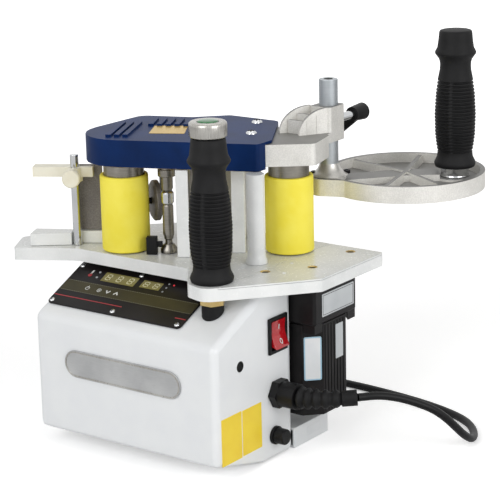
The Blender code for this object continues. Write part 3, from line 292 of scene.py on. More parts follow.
# Nylon turned from bar: cream, with soft tool lines.
CREAM_NYLON = Finish("turned_cream_nylon", "#EFEBD9", "#E3DCC4", 0.42, grain_mm=0.8, relief_mm=0.02)
# Printed polycarbonate film: black ink under a hard clear face.
BLACK_FILM = Finish(
    "black_printed_film", "#0F0B0B", "#151112", 0.3, ior=1.25, grain_mm=0.5, relief_mm=0.003,
)
# The film's olive band of keys, printed with a fine screen.
OLIVE_FILM = Finish(
    "olive_printed_film", "#37331F", "#423D26", 0.34, ior=1.25, grain_mm=0.5, relief_mm=0.003,
)
# White, red and grey screen inks: flat and dull.
WHITE_INK = Finish("white_screen_ink", "#E4E5E2", "#D2D3D0", 0.5, grain_mm=0.4, relief_mm=0.002)
RED_INK = Finish("red_screen_ink", "#B3202A", "#9C1A24", 0.45, grain_mm=0.4, relief_mm=0.002)
GREY_INK = Finish("grey_screen_ink", "#6E6C5C", "#605E50", 0.5, grain_mm=0.4, relief_mm=0.002)
# Segment display behind its amber filter, unlit.
AMBER_FILTER = Finish(
    "amber_display_filter", "#8F8754", "#7C7446", 0.2, ior=1.3, grain_mm=0.8, relief_mm=0.002,
)
# Segment bars moulded in the display, unlit, so they show pale.
SEGMENT = Finish("segment_bars", "#D9D6B0", "#CBC79C", 0.3, grain_mm=0.6, relief_mm=0.002)
# Indicator lenses: clear epoxy domes, one of them lit red.
LED_CLEAR = Finish(
    "clear_indicator_lens", "#A7ABAD", "#8D9194", 0.1, grain_mm=0.6, relief_mm=0.002, coat=0.6,
)
LED_RED = Finish(
    "red_indicator_lens", "#E8323C", "#D0242E", 0.15, grain_mm=0.6, relief_mm=0.002, glow=0.4,
)
# Brushed aluminium sheet: fine lines along X.
BRUSHED_PLATE = Finish(
    "brushed_aluminium_sheet", "#C9CACA", "#B9BABB", 0.34, 0.85, grain_mm=0.5, relief_mm=0.006, contrast=0.12,
    stretch=(0.04, 1.0, 1.0),
)
# Vinyl label stock, bare.
YELLOW_VINYL = Finish(
    "yellow_label_vinyl", "#F7D92C", "#F2D022", 0.4, grain_mm=0.8, relief_mm=0.004, coat=0.2,
)
SILVER_VINYL = Finish(
    "silver_label_vinyl", "#C6CACC", "#B8BCBF", 0.34, grain_mm=0.8, relief_mm=0.004, coat=0.2,
)
WHITE_VINYL = Finish("white_label_vinyl", "#E9EBEC", "#DEE1E3", 0.42, grain_mm=0.8, relief_mm=0.004)
BLUE_VINYL = Finish("pale_blue_label_edge", "#A9CBDD", "#9CC0D4", 0.42, grain_mm=0.8, relief_mm=0.004)
# Brass-coloured foil label, bare.
BRASS_LABEL = Finish("brass_label_foil", "#D9B65C", "#C9A548", 0.3, 0.55, grain_mm=0.5, relief_mm=0.006)
# Glass-filled nylon mouldings: black, with a fine spark-eroded texture.
BLACK_NYLON = Finish(
    "black_moulded_nylon", "#0C0C0D", "#131314", 0.46, ior=1.3, grain_mm=0.35, relief_mm=0.02,
)
# Moulded polycarbonate rocker: glossy red.
RED_ROCKER = Finish(
    "red_polycarbonate", "#B3121C", "#A00E18", 0.14, grain_mm=1.0, relief_mm=0.003, coat=0.5,
)
# Grip rubber: matt black with a dusty bloom.
GRIP_RUBBER = Finish(
    "black_grip_rubber", "#0F0F10", "#171718", 0.6, ior=1.3, grain_mm=0.5, relief_mm=0.04,
    mottle_mm=14.0,
)
# Rubber jacket of the lead: black, with a soft sheen.
CORD_JACKET = Finish(
    "black_cord_jacket", "#0C0C0D", "#121213", 0.42, ior=1.3, grain_mm=0.6, relief_mm=0.01,
)
# Moulded green acrylic key: glossy and deep.
GREEN_LENS = Finish(
    "green_button_lens", "#0F7A3A", "#0B6A31", 0.16, grain_mm=1.0, relief_mm=0.003, coat=0.5,
)
# Ground polyurethane roller cover: matt yellow, faintly marked by the edges it drives.
YELLOW_URETHANE = Finish(
    "ground_yellow_urethane", "#FFF058", "#FBEA46", 0.6, grain_mm=0.7, relief_mm=0.02, mottle_mm=16.0,
    stretch=(0.3, 0.3, 1.0),
)
# Turned steel: bands of tool marks round the axis.
TURNED_STEEL = Finish(
    "turned_steel", "#A5A199", "#8F8B83", 0.32, 1.0, grain_mm=0.5, relief_mm=0.008, contrast=0.25,
    stretch=(0.06, 0.06, 1.0),
)
# Centreless-ground steel column: cool grey, with fine marks round its axis.
GROUND_COLUMN = Finish(
    "ground_steel_column", "#BCC1C5", "#B0B6BA", 0.4, 0.7, grain_mm=0.6, relief_mm=0.004, contrast=0.1,
    stretch=(0.06, 0.06, 1.0),
)
# Chrome plating on polished steel: mirrors the room almost sharply.
POLISHED_CHROME = Finish(
    "polished_chrome", "#D6D7D8", "#C7C9CB", 0.1, 1.0, grain_mm=1.2, relief_mm=0.001, spread=0.03,
)
# Aluminium ring off the lathe: satin, with its tool marks round it.
SATIN_RING = Finish(
    "satin_turned_aluminium", "#C9C7C2", "#B2AFA9", 0.28, 1.0, grain_mm=0.9, relief_mm=0.01, contrast=0.2,
    stretch=(1.0, 1.0, 0.05),
)
# Sand-cast aluminium: pitted skin left by the mould, pale on its walls; its upward faces are turned grey with
# painted shade.
SAND_CAST = Finish(
    "sand_cast_aluminium", "#EFEDE8", "#E2E0DA", 0.5, 0.35, grain_mm=0.9, relief_mm=0.08, contrast=0.16,
    spread=0.1, grain=Grain.CAST, painted_top_shade=0.72,
)
# The same casting where it was ground bright.
GROUND_CAST = Finish(
    "ground_cast_aluminium", "#D2D0CB", "#C2C0BA", 0.36, 0.75, grain_mm=0.7, relief_mm=0.03, contrast=0.16,
    grain=Grain.CAST,
)
# Pressed fibre plate with light flecks.
GREY_FIBRE = Finish(
    "grey_speckled_plate", "#8C8783", "#7C7773", 0.5, 0.4, grain_mm=0.8, relief_mm=0.03, contrast=0.45,
    grain=Grain.CAST,
)
# Yellow passivated zinc plating on steel.
YELLOW_ZINC = Finish(
    "yellow_passivated_zinc", "#D3BE86", "#C2A469", 0.28, 1.0, grain_mm=0.8, relief_mm=0.006,
)
# Moulded polystyrene cover: deep blue with a satin skin.
BLUE_COVER = Finish(
    "blue_moulded_cover", "#0B2A5C", "#092450", 0.42, ior=1.2, grain_mm=0.9, relief_mm=0.02,
)
# Black anodised extrusion of the motor and gearbox.
BLACK_ANODISED = Finish(
    "black_anodised_aluminium", "#141314", "#1C1A1B", 0.4, 0.1, ior=1.3, grain_mm=0.5, relief_mm=0.012,
    stretch=(1.0, 1.0, 0.06),
)
# Glass-epoxy board under green solder resist.
CIRCUIT_BOARD = Finish(
    "green_circuit_board", "#1E6B3A", "#195C32", 0.35, grain_mm=0.9, relief_mm=0.01, coat=0.3,
)
# Painted shade: near-black laid inside recesses and holes that light hardly reaches.
PAINTED_HOLE_SHADE = Finish("painted_hole_shade", "#0C0C0D", "#141415", 0.8, grain_mm=0.8, relief_mm=0.01)


# ---------------------------------------------------------------- mesh tools


def dress(
    piece: bpy.types.Object,
    finish: Finish,
    host: str,
    replace: Sequence[str] = (),
) -> bpy.types.Object:
    """Give a piece its finish and hang it on the body that carries a CAD node.

    Args:
        piece: The new piece, already in place.
        finish: Its finish.
        host: The CAD node whose body the piece shares.
        replace: CAD nodes that the piece stands for.

    Returns:
        The same piece.
    """
    piece.data.materials.clear()
    piece.data.materials.append(finish.material())
    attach(piece, BODY_OF[host])
    if replace:
        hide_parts(*replace)
    return piece


def solid(
    name: str, work: bmesh.types.BMesh, turn: Matrix | None = None, crease: float = 32.0
) -> bpy.types.Object:
    """Close a bmesh into a smooth-shaded object.

    Args:
        name: The piece's name.
        work: The bmesh, which is freed.
        turn: Where the shape goes, or None where it is in place.
        crease: Angle in degrees past which an edge stays sharp.

    Returns:
        The new object.
    """
    bmesh.ops.recalc_face_normals(work, faces=work.faces)
    if turn is not None:
        bmesh.ops.transform(work, matrix=turn, verts=work.verts)
        if turn.determinant() < 0:
            bmesh.ops.reverse_faces(work, faces=work.faces)
    mesh = bpy.data.meshes.new(name)
    work.to_mesh(mesh)
    work.free()
    mesh.shade_smooth()
    mesh.set_sharp_from_angle(angle=math.radians(crease))
    made = bpy.data.objects.new(name, mesh)
    bpy.context.scene.collection.objects.link(made)
    return made


def round_over(work: bmesh.types.BMesh, width: float, segments: int = 2, angle: float = 35.0) -> None:
    """Round every sharp edge.

    Args:
        work: The shape, which is changed.
        width: Radius on the edges.
        segments: Facets in that radius.
        angle: Angle in degrees past which an edge counts as sharp.
    """
    sharp = [e for e in work.edges if e.is_manifold and e.calc_face_angle(0.0) > math.radians(angle)]
    if sharp and width > 0:
        bmesh.ops.bevel(
            work, geom=sharp, offset=width, segments=segments, profile=0.5,
            affect="EDGES", clamp_overlap=True,
        )


def lathe(profile: Profile, steps: int = 64) -> bmesh.types.BMesh:
    """Turn a (radius, height) profile about Z.

    Args:
        profile: Points down the outer side; a closed ring repeats its first point.
        steps: Facets round.

    Returns:
        The turned shape.
    """
    work = bmesh.new()
    spots = [work.verts.new((r, 0, z)) for r, z in profile]
    for first, second in zip(spots, spots[1:]):
        work.edges.new((first, second))
    bmesh.ops.spin(
        work, geom=work.verts[:] + work.edges[:], axis=UP, cent=(0, 0, 0), angle=math.tau, steps=steps,
        use_merge=True,
    )
    bmesh.ops.remove_doubles(work, verts=work.verts, dist=1e-6)
    return work


def dome(radius: float, rise: float, steps: int = 8, base: float = 0.0) -> list[tuple[float, float]]:
    """A rounded top's (radius, height) profile, from its crown to its rim.

    Args:
        radius: Radius of the rim.
        rise: Height of the crown above the rim.
        steps: Facets down the dome.
        base: Height of the rim.

    Returns:
        The profile's points.
    """
    angles = [math.pi / 2 * k / steps for k in range(steps + 1)]
    return [(radius * math.sin(a), base + rise * math.cos(a)) for a in angles]


def bridge(work: bmesh.types.BMesh, rings: Sequence[Sequence[bmesh.types.BMVert]]) -> None:
    """Skin rings of points, one after another, with four-sided faces.

    Args:
        work: The shape that the points are in.
        rings: Rings with the same number of points.
    """
    for first, second in zip(rings, rings[1:]):
        count = len(first)
        for k in range(count):
            work.faces.new((first[k], first[(k + 1) % count], second[(k + 1) % count], second[k]))


def slab(
    outline: Outline, low: float, high: float, soft: float = 0.0, segments: int = 2
) -> bmesh.types.BMesh:
    """Raise a flat outline from one height to another.

    Args:
        outline: Corner points in order.
        low: Height of the underside.
        high: Height of the top.
        soft: Radius on the edges.
        segments: Facets in that radius.

    Returns:
        The raised shape.
    """
    work = bmesh.new()
    face = work.faces.new([work.verts.new((x, y, low)) for x, y in outline])
    raised = bmesh.ops.extrude_face_region(work, geom=[face])
    top = [v for v in raised["geom"] if isinstance(v, bmesh.types.BMVert)]
    bmesh.ops.translate(work, vec=(0, 0, high - low), verts=top)
    bmesh.ops.recalc_face_normals(work, faces=work.faces)
    round_over(work, soft, segments)
    return work


def in_mm(outline: Outline) -> Outline:
    """An outline given in millimetres, in metres."""
    return [(x * MM, y * MM) for x, y in outline]


def between(left: float, low: float, right: float, high: float) -> Outline:
    """A plain rectangle's outline from one corner to the other."""
    return [(left, low), (right, low), (right, high), (left, high)]


def rectangle(
    width: float, height: float, corner: float = 0.0, centre: tuple[float, float] = (0.0, 0.0)
) -> Outline:
    """A rectangle's outline with rounded corners.

    Args:
        width: Its size along local X.
        height: Its size along local Y.
        corner: Radius of its corners.
        centre: Where its middle lies.

    Returns:
        The outline's points.
    """
    points = []
    for quarter, (sx, sy) in enumerate(((1, 1), (-1, 1), (-1, -1), (1, -1))):
        cx = centre[0] + sx * (width / 2 - corner)
        cy = centre[1] + sy * (height / 2 - corner)
        steps = 5 if corner > 0 else 0
        for k in range(steps + 1):
            angle = math.pi / 2 * (quarter + (k / steps if steps else 0))
            points.append((cx + corner * math.cos(angle), cy + corner * math.sin(angle)))
    return points


def disc_outline(radius: float, steps: int = 40, centre: tuple[float, float] = (0.0, 0.0)) -> Outline:
    """A circle's outline."""
    angles = [math.tau * k / steps for k in range(steps)]
    return [(centre[0] + radius * math.cos(a), centre[1] + radius * math.sin(a)) for a in angles]


def frame_at(origin: Vector, along: Vector, across: Vector) -> Matrix:
    """Lay local X along one direction and local Y as near as can be to another.

    Args:
        origin: Where the local origin goes.
        along: Direction of local X.
        across: Direction near local Y.

    Returns:
        The matrix.
    """
    x = along.normalized()
    z = x.cross(across).normalized()
    y = z.cross(x)
    return Matrix.Translation(origin) @ Matrix((x, y, z)).transposed().to_4x4()


def facing(origin: Vector, direction: Vector) -> Matrix:
    """The matrix that points local Z along a direction, at an origin."""
    return Matrix.Translation(origin) @ direction.to_track_quat("Z", "Y").to_matrix().to_4x4()


def merged(*shapes: bmesh.types.BMesh) -> bmesh.types.BMesh:
    """Gather several shapes in one bmesh.

    Args:
        shapes: The shapes, which are freed.

    Returns:
        The gathered shape.
    """
    whole = bmesh.new()
    for shape in shapes:
        scrap = bpy.data.meshes.new("scrap")
        shape.to_mesh(scrap)
        shape.free()
        whole.from_mesh(scrap)
        bpy.data.meshes.remove(scrap)
    return whole


def softened(
    node: str,
    finish: Finish,
    edge_mm: float = 0.3,
    segments: int = 2,
    crease: float = 32.0,
    merge: bool = True,
) -> bpy.types.Object:
    """Stand a piece with eased edges in a CAD node's place.

    Args:
        node: The CAD node.
        finish: The piece's finish.
        edge_mm: Radius on its sharp edges, in millimetres.
        segments: Facets in that radius.
        crease: Angle in degrees past which an edge stays sharp.
        merge: Whether flat facets are merged first.

    Returns:
        The new piece, which replaces the node.
    """
    work = bmesh.new()
    work.from_mesh(frame["nodes"][node].data)
    bmesh.ops.remove_doubles(work, verts=work.verts, dist=1e-5)
    if merge:
        bmesh.ops.dissolve_limit(work, angle_limit=math.radians(0.6), verts=work.verts, edges=work.edges)
    round_over(work, edge_mm * MM, segments)
    piece = solid(node + "_body", work, crease=crease)
    weight = piece.modifiers.new("even_normals", "WEIGHTED_NORMAL")
    weight.keep_sharp = True
    return dress(piece, finish, node, (node,))


def pan_screw(name: str, place: Matrix, radius: float, host: str, finish: Finish) -> bpy.types.Object:
    """A cross-recessed pan-head screw.

    Args:
        name: The piece's name.
        place: Matrix whose local Z points out of the surface.
        radius: Radius of the head.
        host: CAD node that it is screwed into.
        finish: Its plating.

    Returns:
        The screw.
    """
    height = radius * 0.55
    sunk = -0.2 * MM
    skew = 0.5
    head = lathe(dome(radius, height) + [(radius, sunk), (0, sunk)], 28)
    # The cross recess is drawn as near-black bars on the head: painted shade in place of a cut recess.
    bars = []
    for turn in (skew, skew + math.pi / 2):
        bar = slab(rectangle(radius * 1.1, radius * 0.26), height * 0.72, height * 1.03)
        bmesh.ops.rotate(bar, cent=(0, 0, 0), matrix=Matrix.Rotation(turn, 3, "Z"), verts=bar.verts)
        bars.append(bar)
    dress(solid(name + "_recess", merged(*bars), place), PAINTED_HOLE_SHADE, host)
    return dress(solid(name, head, place), finish, host)


# ---------------------------------------------------------------- studio


@dataclass
class Studio:
    """Camera, lamps, world and floor."""

    camera_at: Vector = Vector((0.9592, -1.2318, 0.5855))
    heading: float = math.radians(36.4)
    dip: float = math.radians(15.3)
    roll: float = math.radians(-1.3)
    lens_mm: float = 136.8
    lamp_aim: float = 0.15
    room_light: float = 0.44
    floor_size: float = 12.0
    floor_lift: float = 0.30
    lift_start: float = 0.6
    lift_end: float = 2.4

    def build(self) -> None:
        """Set up the camera, the lamps, the world and the floor."""
        self._camera()
        self._world()
        self._lamp("key", Vector((0.1, -2.0, 1.2)), 1.4, 17.0)
        self._lamp("fill", Vector((2.1, -0.4, 0.9)), 1.3, 18.0)
        self._lamp("top", Vector((-0.5, 0.6, 2.0)), 1.6, 5.0)
        self._floor()
        bpy.context.scene.view_settings.view_transform = "Standard"

    def _camera(self) -> None:
        """Stand the camera at the viewing angle."""
        right = Vector((math.cos(self.heading), math.sin(self.heading), 0))
        level = Vector((-math.sin(self.heading), math.cos(self.heading), 0))
        ahead = level * math.cos(self.dip) - UP * math.sin(self.dip)
        up = right.cross(ahead)
        right, up = (
            right * math.cos(self.roll) + up * math.sin(self.roll),
            up * math.cos(self.roll) - right * math.sin(self.roll),
        )
        data = bpy.data.cameras.new("camera")
        data.lens = self.lens_mm
        data.sensor_width = 36.0
        camera = bpy.data.objects.new("camera", data)
        turn = Matrix((right, up, -ahead)).transposed().to_4x4()
        camera.matrix_world = Matrix.Translation(self.camera_at) @ turn
        bpy.context.scene.collection.objects.link(camera)
        bpy.context.scene.camera = camera

    def _world(self) -> None:
        """White where the camera, mirrors and glass see it, and plain soft grey light elsewhere."""
        world = bpy.data.worlds.new("studio")
        world.use_nodes = True
        tree = world.node_tree
        tree.nodes.clear()
        path = add(tree, "ShaderNodeLightPath")
        seen = add(
            tree, "ShaderNodeMath", {"operation": "MAXIMUM"},
            {0: path.outputs["Is Camera Ray"], 1: path.outputs["Is Glossy Ray"]},
        )
        seen = add(
            tree, "ShaderNodeMath", {"operation": "MAXIMUM"},
            {0: seen.outputs[0], 1: path.outputs["Is Transmission Ray"]},
        )
        levels = {"To Min": self.room_light, "To Max": 1.0}
        strength = add(tree, "ShaderNodeMapRange", levels, {"Value": seen.outputs[0]})
        white = {"Color": (1, 1, 1, 1)}
        background = add(tree, "ShaderNodeBackground", white, {"Strength": strength.outputs[0]})
        add(tree, "ShaderNodeOutputWorld", None, {"Surface": background.outputs[0]})
        bpy.context.scene.world = world

    def _lamp(self, name: str, at: Vector, size: float, power: float) -> None:
        """Hang one soft area lamp that looks at the machine.

        Args:
            name: The lamp's name.
            at: Where it hangs.
            size: Width of its square face.
            power: Its power in watts.
        """
        data = bpy.data.lights.new(name, "AREA")
        data.size = size
        data.energy = power
        lamp = bpy.data.objects.new(name, data)
        lamp.matrix_world = facing(at, at - UP * self.lamp_aim)
        bpy.context.scene.collection.objects.link(lamp)

    def _floor(self) -> None:
        """Lay the pale floor, which keeps the machine's shadow."""
        work = bmesh.new()
        bmesh.ops.create_grid(work, x_segments=2, y_segments=2, size=self.floor_size / 2)
        floor = solid("floor", work)
        floor.data.materials.append(self._floor_material())

    def _floor_material(self) -> bpy.types.Material:
        """Pale matt board that fades to plain white with distance, for the camera alone."""
        material = bpy.data.materials.new("pale_studio_floor")
        material.use_nodes = True
        tree = material.node_tree
        tree.nodes.clear()
        place = add(tree, "ShaderNodeTexCoord").outputs["Object"]
        cloud = add(tree, "ShaderNodeTexNoise", {"Scale": 3.0}, {"Vector": place})
        tone = add(tree, "ShaderNodeMapRange", {"To Min": 0.96, "To Max": 0.985}, {"Value": cloud.outputs[0]})
        board = add(tree, "ShaderNodeBsdfDiffuse", {"Roughness": 0.6}, {"Color": tone.outputs[0]})
        path = add(tree, "ShaderNodeLightPath")
        away = add(tree, "ShaderNodeVectorMath", {"operation": "LENGTH"}, {0: place})
        fade = {
            "From Min": self.lift_start, "From Max": self.lift_end,
            "To Min": self.floor_lift, "To Max": 1.0,
        }
        reach = add(tree, "ShaderNodeMapRange", fade, {"Value": away.outputs["Value"]})
        lift = add(
            tree, "ShaderNodeMath", {"operation": "MULTIPLY"},
            {0: path.outputs["Is Camera Ray"], 1: reach.outputs[0]},
        )
        glow = add(tree, "ShaderNodeEmission", {"Color": (1, 1, 1, 1)}, {"Strength": lift.outputs[0]})
        both = add(tree, "ShaderNodeAddShader", None, {0: board.outputs[0], 1: glow.outputs[0]})
        add(tree, "ShaderNodeOutputMaterial", None, {"Surface": both.outputs[0]})
        return material


# ---------------------------------------------------------------- mains lead


@dataclass
class MainsLead:
    """The free lead: out of its boot, down to the bench, and wound in a coil behind the machine."""

    diameter: float = 6.8 * MM
    route: tuple[tuple[float, float, float], ...] = (
        (0.1611, -0.0057, 0.0594), (0.1653, -0.0007, 0.0594), (0.1747, 0.0089, 0.0590),
        (0.1883, 0.0235, 0.0540), (0.2046, 0.0410, 0.0430), (0.2130, 0.0540, 0.0300),
        (0.2170, 0.0680, 0.0160), (0.2160, 0.0840, 0.0065), (0.2090, 0.1010, 0.0037),
        (0.1960, 0.1170, 0.0037), (0.1780, 0.1290, 0.0037), (0.1500, 0.1390, 0.0037),
        (0.1150, 0.1460, 0.0037), (0.0750, 0.1500, 0.0037), (0.0350, 0.1510, 0.0037),
        (-0.0272, 0.1490, 0.0037),
    )
    coil_centre: tuple[float, float] = (-0.050, 0.105)
    coil_radius: float = 0.0395
    pitch: float = 7.05 * MM
    floor_z: float = 0.0037
    plug_exit: float = math.radians(150)
    plug_lead: float = 0.026
    turns: int = 6
    coil_start: float = math.radians(90)
    step_over: float = math.radians(110)
    spacing: float = math.radians(20)
    fold_count: float = 5.0
    fold_share: float = 0.80
    fold_depth: float = 2.2 * MM
    bush_radius: float = 6.7 * MM

    def build(self) -> None:
        points = self._smooth() + self._coil() + self._tail()
        lead = self._jacket(points)
        plug = softened("mains_plug", BLACK_NYLON, 0.8)
        boot = self._boot()

    def _jacket(self, points: Sequence[Vector]) -> bpy.types.Object:
        """Run the round jacket along the lead's points.

        Args:
            points: The centre line.

        Returns:
            The lead.
        """
        curve = bpy.data.curves.new("mains_lead", "CURVE")
        curve.dimensions = "3D"
        curve.bevel_depth = self.diameter / 2
        curve.bevel_resolution = 4
        curve.use_fill_caps = True
        curve.resolution_u = 6
        spline = curve.splines.new("BEZIER")
        spline.bezier_points.add(len(points) - 1)
        for spot, at in zip(spline.bezier_points, points):
            spot.co = at
            spot.handle_left_type = "AUTO"
            spot.handle_right_type = "AUTO"
        lead = bpy.data.objects.new("mains_lead", curve)
        bpy.context.scene.collection.objects.link(lead)
        return dress(lead, CORD_JACKET, "power_cord", ("power_cord", "cord_coil"))

    def _smooth(self) -> list[Vector]:
        """Read a smooth curve through the route's points, with one more point between each two."""
        spots = [Vector(p) for p in self.route]
        padded = [spots[0] * 2 - spots[1]] + spots + [spots[-1] * 2 - spots[-2]]
        smooth = []
        for a, b, c, d in zip(padded, padded[1:], padded[2:], padded[3:]):
            for k in range(2):
                t = k / 2
                bend = (2 * a - 5 * b + 4 * c - d) * t ** 2
                sway = (3 * b - a - 3 * c + d) * t ** 3
                smooth.append(0.5 * (2 * b + (c - a) * t + bend + sway))
        return smooth + [spots[-1]]

    def _slots(self) -> list[tuple[float, float]]:
        """(radius, height) of each turn's place, in winding order."""
        outer = self.coil_radius + self.pitch / 2
        inner = self.coil_radius - self.pitch / 2
        levels = [self.floor_z + self.pitch * k for k in range(4)]
        rise = [(inner, z) for z in levels]
        fall = [(outer, z) for z in reversed(levels[1:])]
        return [(outer, levels[0])] + rise + fall

    def _coil(self) -> list[Vector]:
        """Wind the turns, each stepping to its next place a little before the turn below it did."""
        slots = self._slots()
        whole = math.tau * self.turns + self.plug_exit - self.coil_start
        stay = whole / (len(slots) - 0.25)
        count = int(whole / self.spacing)
        points = []
        for k in range(1, count + 1):
            travelled = whole * k / count
            index = min(int(travelled / stay), len(slots) - 1)
            radius, height = slots[index]
            left = (index + 1) * stay - travelled
            if left < self.step_over and index + 1 < len(slots):
                t = 1 - left / self.step_over
                ease = t * t * (3 - 2 * t)
                radius += (slots[index + 1][0] - radius) * ease
                height += (slots[index + 1][1] - height) * ease
            angle = self.coil_start + travelled
            out = Vector((math.cos(angle), math.sin(angle), 0))
            points.append(Vector((*self.coil_centre, height)) + out * radius)
        return points

    def _tail(self) -> list[Vector]:
        """Lead off the coil's outer turn to the plug."""
        radius, height = self._slots()[-1]
        out = Vector((math.cos(self.plug_exit), math.sin(self.plug_exit), 0))
        along = Vector((-out.y, out.x, 0))
        start = Vector((*self.coil_centre, height)) + out * radius
        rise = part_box("mains_plug")[1].z / 2 - height
        return [start + along * self.plug_lead * t + UP * rise * t * t for t in (0.25, 0.5, 0.75, 0.98)]

    def _boot(self) -> bpy.types.Object:
        """The bellows boot: round folds on a tapering bend, with a plain bush at its end."""
        low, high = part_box("cord_boot")
        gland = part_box("cable_gland")
        start = Vector((low.x, (gland[0].y + gland[1].y) / 2, (gland[0].z + gland[1].z) / 2))
        end = Vector(self.route[0]) - (Vector(self.route[1]) - Vector(self.route[0])).normalized() * 0.8 * MM
        bend = start + Vector(((end - start).length * 0.30 + 0.002, 0, 0))
        count = 72
        shape = []
        for k in range(count + 1):
            t = k / count
            at = start * (1 - t) ** 2 + bend * 2 * t * (1 - t) + end * t ** 2
            shape.append((at, self._boot_radius(t)))
        boot = solid("corded_boot", tube_of(shape), crease=50)
        return dress(boot, GRIP_RUBBER, "cord_boot", ("cord_boot",))

    def _boot_radius(self, share: float) -> float:
        """Give the boot's radius: tapering folds, then the plain bush.

        Args:
            share: Share of the boot's length, from its gland.

        Returns:
            The radius.
        """
        if share >= self.fold_share:
            return self.bush_radius
        crest = 9.6 * MM - 2.9 * MM * share
        wave = 0.5 - 0.5 * math.cos(math.tau * self.fold_count * share / self.fold_share)
        return crest - self.fold_depth * (1 - wave) ** 1.6


def tube_of(shape: Sequence[tuple[Vector, float]], sides: int = 28) -> bmesh.types.BMesh:
    """Loft round sections along a path.

    Args:
        shape: Centre and radius of each section, in order.
        sides: Facets round.

    Returns:
        The closed tube.
    """
    work = bmesh.new()
    rings = []
    normal = Vector((0, 0, 1))
    for index, (at, radius) in enumerate(shape):
        before = shape[max(index - 1, 0)][0]
        after = shape[min(index + 1, len(shape) - 1)][0]
        ahead = (after - before).normalized()
        normal = (normal - ahead * normal.dot(ahead)).normalized()
        side = ahead.cross(normal)
        angles = [math.tau * k / sides for k in range(sides)]
        rings.append(
            [work.verts.new(at + (normal * math.cos(a) + side * math.sin(a)) * radius) for a in angles]
        )
    bridge(work, rings)
    work.faces.new(rings[0])
    work.faces.new(rings[-1])
    return work


# ---------------------------------------------------------------- housing


@dataclass
class Housing:
    """White sheet-metal housing on its tray, with the bare name plate and label places."""

    right_face: float = 0.095
    label_thick: float = 0.25 * MM
    nameplate_rim: float = 1.1 * MM

    def build(self) -> None:
        """Dress the cover and tray and add what is fixed on them."""
        softened("housing_cover", POWDER_COAT, 0.0, crease=25)
        softened("base_tray", POWDER_COAT, 0.5)
        self._nameplate()
        self._labels()
        self._vent_grommet()

    def _nameplate(self) -> None:
        """The round-ended plate, bare, with a raised rim."""
        softened("nameplate", BRUSHED_PLATE, 0.25)
        low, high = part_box("nameplate")
        wide, tall = high.x - low.x, high.z - low.z
        outer = rectangle(wide - 1.6 * MM, tall - 1.6 * MM, tall / 2 - 0.85 * MM)
        edge = 1.6 * MM + 2 * self.nameplate_rim
        inner = rectangle(wide - edge, tall - edge, (tall - edge) / 2 - 0.05 * MM)
        centre = Vector(((low.x + high.x) / 2, low.y, (low.z + high.z) / 2))
        place = frame_at(centre, Vector((1, 0, 0)), Vector((0, 0, 1)))
        rim = frame_ring(outer, inner, -0.1 * MM, 0.35 * MM)
        dress(solid("nameplate_rim", rim, place), SATIN_RING, "nameplate")

    def _labels(self) -> None:
        """Two yellow labels on the right-hand wall and a white one on the tray, all left bare."""
        wall = frame_at(Vector((self.right_face, 0, 0)), Vector((0, 1, 0)), Vector((0, 0, 1)))
        for name, y, z, wide, tall in (
            ("front_side_label", -0.0900, 0.0365, 0.0270, 0.0400),
            ("rear_side_label", -0.0622, 0.0365, 0.0262, 0.0390),
        ):
            label = slab(rectangle(wide, tall, 0.6 * MM, (y, z)), 0, self.label_thick)
            dress(solid(name, label, wall), YELLOW_VINYL, "housing_cover")
        label = slab(rectangle(0.020, 0.0080, 0.4 * MM, (0.026, 0.0095)), 0, 0.15 * MM)
        dress(solid("tray_label", label, wall), WHITE_VINYL, "base_tray")

    def _vent_grommet(self) -> None:
        """A black bushing round the small hole in the right-hand wall."""
        place = facing(Vector((self.right_face, -0.0765, 0.094)), Vector((1, 0, 0)))
        profile = in_mm([(0, -0.9), (3.4, -0.9), (3.9, -0.2), (4.4, 0.1), (4.4, -1.8), (0, -1.8)])
        plug = lathe(profile, 32)
        dress(solid("wall_grommet", plug, place), BLACK_NYLON, "housing_cover")


def ellipse(half_wide: float, half_tall: float, steps: int = 32) -> Outline:
    """An ellipse's outline."""
    angles = [math.tau * k / steps for k in range(steps)]
    return [(half_wide * math.cos(a), half_tall * math.sin(a)) for a in angles]


def frame_ring(outer: Outline, inner: Outline, low: float, high: float) -> bmesh.types.BMesh:
    """Raise a flat band between two outlines with the same number of points.

    Args:
        outer: The band's outer edge.
        inner: Its inner edge.
        low: Height of the underside.
        high: Height of the top.

    Returns:
        The band.
    """
    work = bmesh.new()
    rings = [
        [work.verts.new((x, y, z)) for x, y in outline]
        for outline, z in ((outer, low), (outer, high), (inner, high), (inner, low))
    ]
    bridge(work, rings + rings[:1])
    return work


